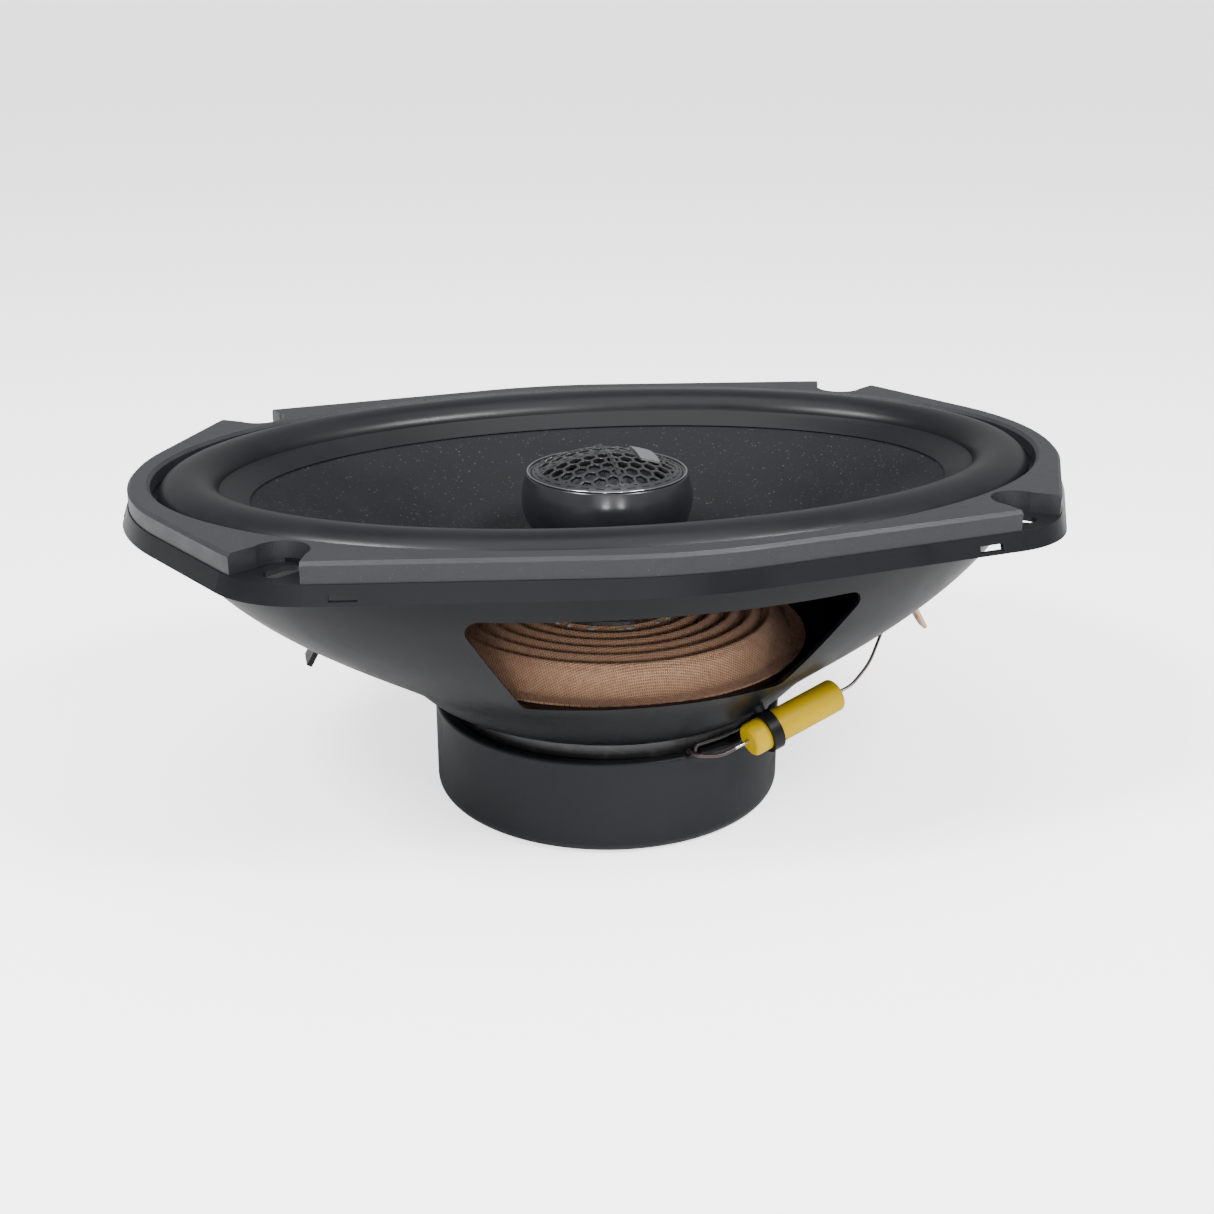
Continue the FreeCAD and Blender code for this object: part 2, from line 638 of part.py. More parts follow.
def surround():
    flange_a = TRIM_A + REBATE - SOFT_GAP
    flange_b = TRIM_B + REBATE - SOFT_GAP
    base = PLATE_TOP
    steps = 8
    upper = []
    lower = []
    for i in range(steps + 1):
        turn = math.pi * i / steps
        across = ROLL_WIDTH / 2 * (1 - math.cos(turn))
        rise = ROLL_HEIGHT * math.sin(turn)
        shrink = RUBBER * math.cos(turn)
        upper.append((ROLL_A - across, ROLL_B - across, base + RUBBER + rise))
        lower.append((ROLL_A - across - shrink, ROLL_B - across - shrink, base + rise))
    lower.reverse()
    band = [cone_station(GLUE_SHARE * i / 2, CONE_PAPER + SOFT_GAP) for i in range(3)]
    band_top = [(a, b, z + RUBBER / 2) for a, b, z in reversed(band)]
    runs = [
        [(flange_a, flange_b, base), (flange_a, flange_b, base + RUBBER)],
        [(flange_a, flange_b, base + RUBBER), upper[0]],
        upper,
        [upper[-1], band_top[-1]],
        list(reversed(band_top)),
        [band_top[0], band[-1]],
        list(reversed(band)),
        [band[0], lower[0]],
        lower,
        [lower[-1], (flange_a, flange_b, base)],
    ]
    return ring_skin(runs)


def cone():
    count = 6
    under = [cone_station(i / count, 0.0) for i in range(count + 1)]
    over = [(a, b, z + CONE_PAPER) for a, b, z in under]
    neck = FORMER_OUTER + CONE_PAPER
    foot = CONE_NECK_Z - NECK_HEIGHT
    flare = ring_skin([under, [under[-1], over[-1]], list(reversed(over)), [over[0], under[0]]])
    collar = tube(neck, FORMER_OUTER, foot, CONE_NECK_Z + 0.5 * CONE_PAPER)
    return flare.fuse(collar)


def spider_profile(drop):
    """Edges of the spider's section from its flange to its collar."""
    wall_top = LEDGE_INNER - SPIDER_WALL_RUN
    crest = LEDGE_Z + CLOTH + SPIDER_WALL_RISE - drop
    flat = LEDGE_Z + CLOTH - drop
    outer = LEDGE_OUTER - SPIDER_FLANGE_GAP
    inner = FORMER_OUTER + SOFT_GAP + SPIDER_COLLAR
    pitch = (wall_top - inner) / SPIDER_ROLLS
    edges = [Part.makeLine(vec(outer, 0, flat), vec(LEDGE_INNER + 0.6, 0, flat)),
             Part.makeLine(vec(LEDGE_INNER + 0.6, 0, flat), vec(wall_top, 0, crest))]
    for i in range(SPIDER_ROLLS):
        start = wall_top - i * pitch
        for half, way in ((0, 1), (0.5, -1)):
            left = start - half * pitch
            edges.append(Part.Arc(vec(left, 0, crest),
                                  vec(left - pitch / 4, 0, crest + way * SPIDER_ROLL_HEIGHT),
                                  vec(left - pitch / 2, 0, crest)).toShape())
    return edges, vec(outer, 0, flat), vec(inner, 0, crest)


def spider():
    upper, upper_out, upper_in = spider_profile(0.0)
    lower, lower_out, lower_in = spider_profile(CLOTH)
    ends = [Part.makeLine(upper_out, lower_out), Part.makeLine(upper_in, lower_in)]
    wire = Part.Wire(Part.__sortEdges__(upper + lower + ends))
    web = Part.Face(wire).revolve(vec(0, 0, 0), vec(0, 0, 1), 360)
    bottom = upper_in.z - SPIDER_COLLAR
    collar = tube(upper_in.x + 0.01, FORMER_OUTER + SOFT_GAP, bottom, upper_in.z)
    return web.fuse(collar)


def voice_coil_former():
    return tube(FORMER_OUTER, FORMER_INNER, WINDING_UNDER - 0.8, CONE_NECK_Z + CONE_PAPER)


def voice_coil_winding():
    return tube(WINDING_OUTER, FORMER_OUTER, WINDING_UNDER, WINDING_UNDER + WINDING_HEIGHT)


# ---------------------------------------------------------------- woofer motor
def top_plate():
    plate = tube(TOP_PLATE_RADIUS, PLATE_BORE, TOP_PLATE_UNDER, SEAT_Z)
    holes = []
    for turn in range(4):
        x, y, _ = polar(RIVET_CIRCLE, 45 + 90 * turn, 0)
        holes.append(disc(RIVET_RADIUS, RIVET_UNDER, SEAT_Z + 1, x, y))
    return plate.cut(holes)


def plate_rivets():
    rivets = []
    for turn in range(4):
        x, y, _ = polar(RIVET_CIRCLE, 45 + 90 * turn, 0)
        shank = disc(RIVET_RADIUS, RIVET_UNDER, SEAT_TOP, x, y)
        head = Part.makeCone(RIVET_HEAD, RIVET_RADIUS, RIVET_HEAD_HEIGHT, vec(x, y, SEAT_TOP))
        rivets.append(shank.fuse(head))
    return Part.makeCompound(rivets)


def ferrite_magnet():
    ring = tube(FERRITE_RADIUS, FERRITE_BORE, FERRITE_UNDER, TOP_PLATE_UNDER)
    rims = rims_at(ring, FERRITE_UNDER) + rims_at(ring, TOP_PLATE_UNDER)
    outer_rims = [e for e in rims if e.BoundBox.XLength > 2 * FERRITE_RADIUS - 0.01]
    return ring.makeChamfer(EDGE_CHAMFER, outer_rims)


def groove_cutter():
    """Radial groove in the back of the yoke for the tweeter's wires."""
    depth = 4 * WIRE_RADIUS
    corner = vec(0, -CHANNEL_WIDTH / 2, BACK_Z - 1)
    bar = Part.makeBox(BACK_PLATE_RADIUS + 2, CHANNEL_WIDTH, depth + 1, corner)
    bar.rotate(vec(0, 0, 0), vec(0, 0, 1), CHANNEL_ANGLE)
    return bar


def yoke():
    """Back plate and pole in one piece, bored for the hollow stud."""
    pole = turned([(0, BACK_Z), (BACK_PLATE_RADIUS, BACK_Z), (BACK_PLATE_RADIUS, FERRITE_UNDER),
                   (POLE_RADIUS, FERRITE_UNDER), (POLE_RADIUS, POLE_TOP - EDGE_CHAMFER),
                   (POLE_RADIUS - EDGE_CHAMFER, POLE_TOP),
                   (0, POLE_TOP)])
    bore = disc(STUD_RADIUS + STUD_GAP, BACK_Z - 1, POLE_TOP + 1)
    recess = disc(WASHER_RADIUS + RECESS_GAP, BACK_Z - 1, BACK_Z + NUT_RECESS)
    return pole.cut([bore, recess, groove_cutter()])


def boot_channel():
    """Channel inside the boot's wall that the wires come up through."""
    low = BACK_Z - 0.5
    height = BOOT_TOP - low + 1
    reach = FERRITE_RADIUS + CHANNEL_DEPTH
    depth = CHANNEL_DEPTH + 6
    bar = Part.makeBox(depth, CHANNEL_WIDTH, height, vec(reach - depth, -CHANNEL_WIDTH / 2, low))
    bar.rotate(vec(0, 0, 0), vec(0, 0, 1), CHANNEL_ANGLE)
    return bar


def magnet_boot():
    outer = FERRITE_RADIUS + BOOT_WALL
    block = disc(outer, BOTTOM_Z, BOOT_TOP)
    block = block.makeFillet(BOOT_EDGE, rims_at(block, BOTTOM_Z))
    block = block.makeFillet(BOOT_LIP, rims_at(block, BOOT_TOP))
    cavity = disc(FERRITE_RADIUS, FERRITE_UNDER, BOOT_TOP + 1)
    lower_cavity = disc(FERRITE_RADIUS - BOOT_STEP, BACK_Z, FERRITE_UNDER)
    opening = disc(BOOT_OPENING, BOTTOM_Z - 1, BACK_Z + 1)
    return block.cut([cavity, lower_cavity, opening, boot_channel()])


# ---------------------------------------------------------------- tweeter
def tweeter_pod():
    """Turned housing: rim, round belly and the post that stands on the pole."""
    belly = POD_BELLY_RADIUS
    points = [(0, POLE_TOP), (POST_RADIUS, POLE_TOP), (POST_RADIUS, POD_BASE_Z - 3)]
    ends = [vec(r, 0, z) for r, z in points]
    profile = [Part.makeLine(start, end) for start, end in zip(ends, ends[1:])]
    throat_start = ends[-1]
    throat_middle = vec(POST_RADIUS + 1.6, 0, POD_BASE_Z - 0.4)
    throat_end = vec(POD_CAVITY - 1.0, 0, POD_BASE_Z + 1.5)
    flank = vec(belly - 0.9, 0, (POD_BASE_Z + POD_BELLY_Z) / 2)
    widest = vec(belly, 0, POD_BELLY_Z)
    shoulder = vec(belly - 0.5, 0, (POD_RIM_Z + POD_BELLY_Z) / 2)
    rim = vec(POD_RIM_RADIUS, 0, POD_RIM_Z)
    profile.append(Part.Arc(throat_start, throat_middle, throat_end).toShape())
    profile.append(Part.Arc(throat_end, flank, widest).toShape())
    profile.append(Part.Arc(widest, shoulder, rim).toShape())
    profile.append(Part.makeLine(rim, vec(0, 0, POD_RIM_Z)))
    profile.append(Part.makeLine(vec(0, 0, POD_RIM_Z), vec(0, 0, POLE_TOP)))
    body = Part.Face(Part.Wire(profile)).revolve(vec(0, 0, 0), vec(0, 0, 1), 360)
    pocket = disc(POD_POCKET, POCKET_FLOOR, POD_RIM_Z + 1)
    cavity = disc(POD_CAVITY, POD_CAVITY_Z, 1)
    wire_bore = disc(STUD_BORE, POLE_TOP - 1, POD_CAVITY_Z + 1)
    insert_bore = disc(STUD_RADIUS + INSERT_WALL, POLE_TOP - 1, POLE_TOP + STUD_ENGAGED)
    return body.cut([pocket, cavity, wire_bore, insert_bore])


def pod_insert():
    return tube(STUD_RADIUS + INSERT_WALL, STUD_RADIUS, POLE_TOP, POLE_TOP + STUD_ENGAGED)


def pod_stud():
    return tube(STUD_RADIUS, STUD_BORE, BACK_Z + RECESS_GAP, POLE_TOP + STUD_ENGAGED)


def pod_washer():
    top = BACK_Z + NUT_RECESS
    return tube(WASHER_RADIUS, STUD_RADIUS + STUD_GAP, top - WASHER_THICKNESS, top)


def pod_nut():
    low = BACK_Z + RECESS_GAP
    corner = NUT_FLATS / math.sqrt(3)
    points = [polar(corner, 60 * i, low) for i in range(7)]
    prism = Part.Face(Part.makePolygon([vec(*p) for p in points])).extrude(vec(0, 0, NUT_HEIGHT))
    top = low + NUT_HEIGHT
    turned_ends = turned([(0, low), (NUT_FLATS / 2, low), (corner, low + 0.6), (corner, top), (0, top)])
    return prism.common(turned_ends).cut(disc(STUD_RADIUS, low - 1, top + 1))


def tweeter_motor_levels():
    plate_low = POCKET_FLOOR - TWEETER_PLATE_HEIGHT
    magnet_low = plate_low - TWEETER_MAGNET_HEIGHT
    return plate_low, magnet_low, magnet_low - TWEETER_CUP_FLOOR


def tweeter_yoke():
    _, magnet_low, cup_low = tweeter_motor_levels()
    return disc(TWEETER_CUP_RADIUS, cup_low, POCKET_FLOOR).cut(disc(TWEETER_CUP_INNER, magnet_low, 1))


def tweeter_magnet():
    plate_low, magnet_low, _ = tweeter_motor_levels()
    return disc(TWEETER_MAGNET_RADIUS, magnet_low, plate_low)


def tweeter_top_plate():
    plate_low, _, _ = tweeter_motor_levels()
    return disc(TWEETER_PLATE_RADIUS, plate_low, POCKET_FLOOR)


def tweeter_voice_coil():
    outer = TWEETER_COIL_INNER + TWEETER_COIL_WALL
    return tube(outer, TWEETER_COIL_INNER, FACE_TOP - TWEETER_COIL_HEIGHT, FACE_TOP)


def tweeter_face_ring():
    ring = tube(POD_POCKET - 0.1, FACE_RING_INNER, POCKET_FLOOR, FACE_TOP)
    holes = []
    for side in (-1, 1):
        x, y, _ = in_channel(0, side * TAG_REACH, 0)
        holes.append(disc(WIRE_RADIUS + 0.2, POCKET_FLOOR - 1, FACE_TOP + 1, x, y))
    return ring.cut(holes)


def cap_solid(radius, rise, low, wall):
    """Part of a spherical shell: radius and height at its foot, foot at low."""
    ball = (radius ** 2 + rise ** 2) / (2 * rise)
    centre = vec(0, 0, low + rise - ball)
    keep = Part.makeBox(2 * radius + 2, 2 * radius + 2, rise + 1, vec(-radius - 1, -radius - 1, low))
    return Part.makeSphere(ball, centre).cut(Part.makeSphere(ball - wall, centre)).common(keep)


def tweeter_dome():
    low = FACE_TOP
    skirt_top = low + 0.4
    radius = TWEETER_COIL_INNER + TWEETER_COIL_WALL
    skirt = tube(radius, TWEETER_COIL_INNER, low, skirt_top)
    return cap_solid(radius, DOME_RISE, skirt_top, FOIL).fuse(skirt)


def tweeter_surround():
    """Small half-roll between the dome and the face ring."""
    inner = TWEETER_COIL_INNER + TWEETER_COIL_WALL + SOFT_GAP
    low = FACE_TOP
    outer = FACE_RING_INNER + 2.2
    roll = FACE_RING_INNER + 0.4
    middle = (inner + roll) / 2
    rise = (roll - inner) / 2
    high = low + FOIL
    over = Part.Arc(vec(inner, 0, high), vec(middle, 0, high + rise), vec(roll, 0, high))
    under = Part.Arc(vec(inner + FOIL, 0, low), vec(middle, 0, low + rise), vec(roll - FOIL, 0, low))
    edges = [over.toShape(), under.toShape()]
    for start, end in (((inner, high), (inner, low)), ((inner, low), (inner + FOIL, low)),
                       ((roll - FOIL, low), (outer, low)), ((outer, low), (outer, high)),
                       ((outer, high), (roll, high))):
        edges.append(Part.makeLine(vec(start[0], 0, start[1]), vec(end[0], 0, end[1])))
    wire = Part.Wire(Part.__sortEdges__(edges))
    return Part.Face(wire).revolve(vec(0, 0, 0), vec(0, 0, 1), 360)


def grille_holes():
    """Honeycomb of hexagonal prisms, left out under the cross and the band."""
    low = POD_RIM_Z - 1
    height = GRILLE_RISE + 3
    corner = (GRILLE_PITCH - GRILLE_WEB) / math.sqrt(3)
    reach = GRILLE_OUTER - GRILLE_BAND
    rows = int(reach / (GRILLE_PITCH * math.sqrt(3) / 2)) + 1
    holes = []
    for row in range(-rows, rows + 1):
        y = row * GRILLE_PITCH * math.sqrt(3) / 2
        shift = 0.5 * GRILLE_PITCH * (row % 2)
        for column in range(-rows - 1, rows + 2):
            x = column * GRILLE_PITCH + shift
            if math.hypot(x, y) > reach:
                continue
            points = [vec(*polar(corner, 60 * i + 30, low)) + vec(x, y, 0) for i in range(7)]
            holes.append(Part.Face(Part.makePolygon(points)).extrude(vec(0, 0, height)))
    return holes


def tweeter_grille():
    low = FACE_TOP + GRILLE_LIFT
    wall = tube(GRILLE_OUTER, GRILLE_OUTER - GRILLE_WALL, low, POD_RIM_Z + 0.3)
    cap = cap_solid(GRILLE_OUTER, GRILLE_RISE, POD_RIM_Z, GRILLE_WALL)
    foot = tube(GRILLE_OUTER, GRILLE_OUTER - GRILLE_BAND, low, low + GRILLE_WALL)
    bars = [Part.makeBox(2 * GRILLE_OUTER, GRILLE_RIB, 20, vec(-GRILLE_OUTER, -GRILLE_RIB / 2, 0)),
            Part.makeBox(GRILLE_RIB, 2 * GRILLE_OUTER, 20, vec(-GRILLE_RIB / 2, -GRILLE_OUTER, 0))]
    cross = cap.common(bars[0].fuse(bars[1]))
    pierced = cap.cut(grille_holes())
    return pierced.multiFuse([cross, wall, foot])


def tweeter_rim_ring():
    return tube(POD_RIM_RADIUS - 0.05, POD_POCKET, POD_RIM_Z, POD_RIM_Z + RIM_RING_HEIGHT)


def tweeter_badge():
    """Plain plate curved to the grille."""
    ball = (GRILLE_OUTER ** 2 + GRILLE_RISE ** 2) / (2 * GRILLE_RISE)
    centre = vec(0, 0, POD_RIM_Z + GRILLE_RISE - ball)
    skin = Part.makeSphere(ball + BADGE_THICKNESS, centre).cut(Part.makeSphere(ball, centre))
    half_w = BADGE_WIDTH / 2
    half_l = BADGE_LENGTH / 2
    corners = [(BADGE_X - half_w, -half_l, 0), (BADGE_X + half_w, -half_l, 0),
               (BADGE_X + half_w, half_l, 0), (BADGE_X - half_w, half_l, 0)]
    return skin.common(Part.Face(rounded_outline(corners, BADGE_CORNER)).extrude(vec(0, 0, 30)))


# ---------------------------------------------------------------- terminals
def terminal_strip():
    low = -PAD_PROUD - STRIP_THICKNESS
    plate = slab(PAD_LENGTH - STRIP_MARGIN, PAD_WIDTH - STRIP_MARGIN, low, -PAD_PROUD)
    holes = [disc(TAG_RIVET_RADIUS, low - 1, 0, 0, side * BLADE_Y) for side in (-1, 1)]
    return on_slope(plate.cut(holes), PAD_X)


def terminal(width, side):
    """Flat foot under the strip and a blade that stands away from it."""
    foot_top = -PAD_PROUD - STRIP_THICKNESS
    foot_low = foot_top - BLADE_THICKNESS
    blade_top = TAG_RIVET_HEAD + 0.8
    foot = slab(TAG_LENGTH, width, foot_low, foot_top, blade_top - TAG_LENGTH / 2, side * BLADE_Y)
    foot = foot.cut(disc(TAG_RIVET_RADIUS, foot_low - 1, foot_top + 1, 0, side * BLADE_Y))
    half = width / 2
    chamfer = width * BLADE_CHAMFER
    tip = foot_low - BLADE_LENGTH
    outline = [(-half, foot_top), (half, foot_top), (half, tip + chamfer), (half - chamfer, tip),
               (chamfer - half, tip), (-half, tip + chamfer)]
    corners = [vec(blade_top - BLADE_THICKNESS, y + side * BLADE_Y, z) for y, z in outline]
    blade = Part.Face(Part.makePolygon(corners + corners[:1])).extrude(vec(BLADE_THICKNESS, 0, 0))
    hole_place = vec(blade_top - 3, side * BLADE_Y, foot_low - BLADE_LENGTH * BLADE_HOLE_SHARE)
    hole = Part.makeCylinder(BLADE_HOLE, 4, hole_place, vec(1, 0, 0))
    return on_slope(foot.fuse(blade).cut(hole), PAD_X)


def rivet(low, high, x=0.0, y=0.0):
    shank = disc(TAG_RIVET_RADIUS, low, high, x, y)
    heads = [disc(TAG_RIVET_HEAD, low - TAG_RIVET_PROUD, low, x, y),
             disc(TAG_RIVET_HEAD, high, high + TAG_RIVET_PROUD, x, y)]
    return shank.multiFuse(heads)


def terminal_rivets():
    low = -PAD_PROUD - STRIP_THICKNESS - BLADE_THICKNESS
    pair = [rivet(low, INNER_FACE, 0, side * BLADE_Y) for side in (-1, 1)]
    return Part.makeCompound([on_slope(one, PAD_X) for one in pair])


def lead_clip():
    """Small clip on the other end slope, open towards the flange."""
    low = -PAD_PROUD - CLIP_THICKNESS
    width = CLIP_WIDTH - STRIP_MARGIN
    foot = slab(CLIP_LENGTH, width, low, -PAD_PROUD)
    hook = slab(CLIP_THICKNESS, width, low - CLIP_HOOK, low, (CLIP_LENGTH - CLIP_THICKNESS) / 2)
    hole = disc(TAG_RIVET_RADIUS, low - 1, 0)
    return on_slope(foot.fuse(hook).cut(hole), CLIP_X, mirror=True)


def lead_clip_rivet():
    low = -PAD_PROUD - CLIP_THICKNESS
    return on_slope(rivet(low, INNER_FACE), CLIP_X, mirror=True)


# ---------------------------------------------------------------- capacitor
def capacitor_axis():
    reach = FERRITE_RADIUS + BOOT_WALL + CAPACITOR_RADIUS + CAPACITOR_GAP
    start = vec(*polar(reach, CAPACITOR_ANGLES[0], SEAT_Z - CAPACITOR_DROP))
    way = vec(*polar(reach + CAPACITOR_SPREAD, CAPACITOR_ANGLES[1], SEAT_Z + CAPACITOR_RISE)) - start
    return start, way.normalize()


def along_capacitor(distance):
    start, way = capacitor_axis()
    place = start + way * distance
    return (place.x, place.y, place.z)


def capacitor():
    start, way = capacitor_axis()
    body = Part.makeCylinder(CAPACITOR_RADIUS, CAPACITOR_LENGTH, start, way)
    ends = [e for e in body.Edges if len(e.Vertexes) == 1]
    return body.makeFillet(1.0, ends)


def capacitor_strap():
    """Band round the capacitor and the stem that holds it to the bowl."""
    start, way = capacitor_axis()
    place = start + way * STRAP_PLACE
    outer = Part.makeCylinder(CAPACITOR_RADIUS + STRAP_THICKNESS, STRAP_WIDTH, place, way)
    hole = Part.makeCylinder(CAPACITOR_RADIUS, STRAP_WIDTH + 2, place - way, way)
    middle = place + way * (STRAP_WIDTH / 2)
    inward = vec(-middle.x, -middle.y, 0).normalize() * 0.6 + vec(0, 0, 1)
    stem = Part.makeCylinder(STRAP_WIDTH / 2, STRAP_STEM, middle, inward)
    return outer.fuse(stem).cut([hole, bowl_outside(), disc(CUP_RADIUS + 2, SEAT_Z - 1, SEAT_Z + 40)])


def slope_point(x, y, z):
    """A point given in the frame of the terminal pad."""
    place = on_slope(Part.Vertex(x, y, z), PAD_X).Point
    return (place.x, place.y, place.z)


def part_way(start, end, shares):
    """A point between two others, with its own share of the way along X, Y and Z."""
    return tuple(s + (e - s) * share for s, e, share in zip(start, end, shares))


def capacitor_leads():
    foot = slope_point(-TAG_LENGTH / 2, -BLADE_Y, SOLDER_Z)
    turn = along_capacitor(CAPACITOR_LENGTH + OUTER_LEAD)
    route = [along_capacitor(CAPACITOR_LENGTH), turn] + [part_way(turn, foot, s) for s in LEAD_WAY] + [foot]
    outer = lead("capacitor lead, terminal end", route, LEAD_RADIUS)
    start, way = capacitor_axis()
    inner = Part.makeCylinder(LEAD_RADIUS, INNER_LEAD, start, way * -1)
    return Part.makeCompound([outer, inner])


# ---------------------------------------------------------------- tweeter wires, tinsel
def wire_run(side):
    """The common route: face ring, post, back groove and boot channel."""
    across = side * WIRE_SPREAD
    under_cup = (POD_CAVITY_Z + tweeter_motor_levels()[2]) / 2
    below_nut = BACK_Z - WIRE_RADIUS
    in_groove = BACK_Z + 2 * WIRE_RADIUS
    return [in_channel(0, side * TAG_REACH, FACE_TOP - 0.2),
            in_channel(0, side * TAG_REACH, under_cup),
            in_channel(0, across, under_cup),
            in_channel(0, across, below_nut),
            in_channel(BOOT_OPENING - 9, across, below_nut),
            in_channel(BOOT_OPENING - 1, across, in_groove),
            in_channel(RISER, across, in_groove)]


def tweeter_wire_positive():
    """Up out of the boot and outwards, to the capacitor's inner lead."""
    top = BOOT_TOP + 1.2
    joint = along_capacitor(-INNER_LEAD)
    before = along_capacitor(-2 * INNER_LEAD)
    route = wire_run(-1) + [in_channel(RISER, -WIRE_SPREAD, top)]
    route += [in_channel(RISER + 4.3, -WIRE_SPREAD, top - 0.2), before, joint]
    return lead("tweeter wire, positive", route, WIRE_RADIUS, WIRE_BENDS)


def tweeter_wire_negative():
    """Up out of the boot, round under the basket and out to the other blade."""
    level = BOOT_TOP + 1.7
    foot = slope_point(-TAG_LENGTH / 2, BLADE_Y, SOLDER_Z - WIRE_RADIUS + LEAD_RADIUS)
    round_cup = [polar(RISER, angle, level) for angle in WIRE_ROUND_CUP]
    climb = [part_way(round_cup[-1], foot, shares) for shares in WIRE_WAY]
    route = wire_run(1) + [in_channel(RISER, WIRE_SPREAD, level)] + round_cup + climb + [foot]
    return lead("tweeter wire, negative", route, WIRE_RADIUS, WIRE_BENDS)


def tinsel(side):
    """Flexible lead from a terminal rivet to the coil's collar."""
    head = INNER_FACE + TAG_RIVET_PROUD
    pin = slope_point(0, side * BLADE_Y, head)
    reach = FORMER_OUTER + CONE_PAPER + EYELET_LENGTH
    end = polar(reach, side * EYELET_ANGLE, EYELET_Z)
    before = polar(reach + 9.0, side * (EYELET_ANGLE - 3), EYELET_Z + 1.0)
    hang = [(end[0] + (pin[0] - end[0]) * share, side * y, z) for share, y, z in TINSEL_WAY]
    route = [pin, slope_point(0, side * BLADE_Y, head + TINSEL_RISE)] + hang + [before, end]
    return lead("tinsel", route, TINSEL_RADIUS)


def tinsel_eyelets():
    """Solder points on the cone's neck where the tinsel leads end."""
    inner = FORMER_OUTER + CONE_PAPER
    points = []
    for side in (-1, 1):
        turn = math.radians(side * EYELET_ANGLE)
        way = vec(math.cos(turn), math.sin(turn), 0)
        foot = way * (inner - 0.5) + vec(0, 0, EYELET_Z)
        post = Part.makeCylinder(EYELET_RADIUS, EYELET_LENGTH - SOFT_GAP + 0.5, foot, way)
        points.append(post.cut(disc(inner, EYELET_Z - 5, EYELET_Z + 5)))
    return Part.makeCompound(points)


# ---------------------------------------------------------------- write
NODES = {
    "basket": basket,
    "trim_gasket": trim_gasket,
    "surround": surround,
    "cone": cone,
    "voice_coil_former": voice_coil_former,
    "voice_coil_winding": voice_coil_winding,
    "spider": spider,
    "top_plate": top_plate,
    "plate_rivets": plate_rivets,
    "ferrite_magnet": ferrite_magnet,
    "yoke": yoke,
    "magnet_boot": magnet_boot,
    "tweeter_pod": tweeter_pod,
    "pod_insert": pod_insert,
    "pod_stud": pod_stud,
    "pod_washer": pod_washer,
    "pod_nut": pod_nut,
    "tweeter_yoke": tweeter_yoke,
    "tweeter_magnet": tweeter_magnet,
    "tweeter_top_plate": tweeter_top_plate,
    "tweeter_voice_coil": tweeter_voice_coil,
    "tweeter_face_ring": tweeter_face_ring,
    "tweeter_dome": tweeter_dome,
    "tweeter_surround": tweeter_surround,
    "tweeter_grille": tweeter_grille,
    "tweeter_rim_ring": tweeter_rim_ring,
    "tweeter_badge": tweeter_badge,
    "terminal_strip": terminal_strip,
    "terminal_positive": lambda: terminal(BLADE_POSITIVE, -1),
    "terminal_negative": lambda: terminal(BLADE_NEGATIVE, 1),
    "terminal_rivets": terminal_rivets,
    "lead_clip": lead_clip,
    "lead_clip_rivet": lead_clip_rivet,
    "capacitor": capacitor,
    "capacitor_strap": capacitor_strap,
    "capacitor_leads": capacitor_leads,
    "tweeter_wire_positive": tweeter_wire_positive,
    "tweeter_wire_negative": tweeter_wire_negative,
    "tinsel_positive": lambda: tinsel(-1),
    "tinsel_negative": lambda: tinsel(1),
    "tinsel_eyelets": tinsel_eyelets,
}


def main():
    os.makedirs("parts", exist_ok=True)
    for name, make in NODES.items():
        shape = plain_solid(make())
        facts = (name, len(shape.Solids), shape.isValid(), shape.Volume)
        print("%-24s solids %d  valid %s  volume %.1f" % facts)
        shape.exportStep("parts/%s.step" % name)


main()
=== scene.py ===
import logging
import math
import random
from dataclasses import dataclass, field
from enum import Enum
from typing import Callable, Dict, List, NamedTuple, Optional, Sequence, Tuple

import bmesh
import bpy
from mathutils import Matrix, Vector


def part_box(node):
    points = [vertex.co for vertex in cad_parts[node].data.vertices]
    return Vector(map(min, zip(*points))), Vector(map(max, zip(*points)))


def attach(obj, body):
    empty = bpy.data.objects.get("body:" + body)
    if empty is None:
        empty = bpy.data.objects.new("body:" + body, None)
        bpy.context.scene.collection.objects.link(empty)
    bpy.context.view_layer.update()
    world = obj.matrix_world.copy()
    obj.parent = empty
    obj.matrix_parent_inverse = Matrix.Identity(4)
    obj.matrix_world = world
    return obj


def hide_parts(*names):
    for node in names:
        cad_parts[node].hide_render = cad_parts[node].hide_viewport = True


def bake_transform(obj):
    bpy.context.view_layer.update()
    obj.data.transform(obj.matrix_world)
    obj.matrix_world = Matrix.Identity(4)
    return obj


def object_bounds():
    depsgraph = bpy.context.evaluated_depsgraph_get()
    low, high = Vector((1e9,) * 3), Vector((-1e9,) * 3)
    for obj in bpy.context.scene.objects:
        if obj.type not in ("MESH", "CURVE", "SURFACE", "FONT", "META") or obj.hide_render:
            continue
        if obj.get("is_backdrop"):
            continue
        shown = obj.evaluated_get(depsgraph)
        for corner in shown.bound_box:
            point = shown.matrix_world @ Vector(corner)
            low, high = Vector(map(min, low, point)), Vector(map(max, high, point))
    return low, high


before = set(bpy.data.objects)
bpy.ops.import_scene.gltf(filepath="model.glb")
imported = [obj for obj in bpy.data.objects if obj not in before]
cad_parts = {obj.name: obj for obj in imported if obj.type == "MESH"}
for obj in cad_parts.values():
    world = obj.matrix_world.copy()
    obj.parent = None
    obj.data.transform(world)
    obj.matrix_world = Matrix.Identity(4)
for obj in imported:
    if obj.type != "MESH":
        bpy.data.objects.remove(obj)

MM = 0.001
LOG = logging.getLogger("speaker")
Colour = Tuple[float, float, float]
Point = Tuple[float, float, float]
Mesh = bmesh.types.BMesh
Node = bpy.types.Node
Socket = bpy.types.NodeSocket
Sockets = bpy.types.bpy_prop_collection
Thing = bpy.types.Object
Tree = bpy.types.NodeTree


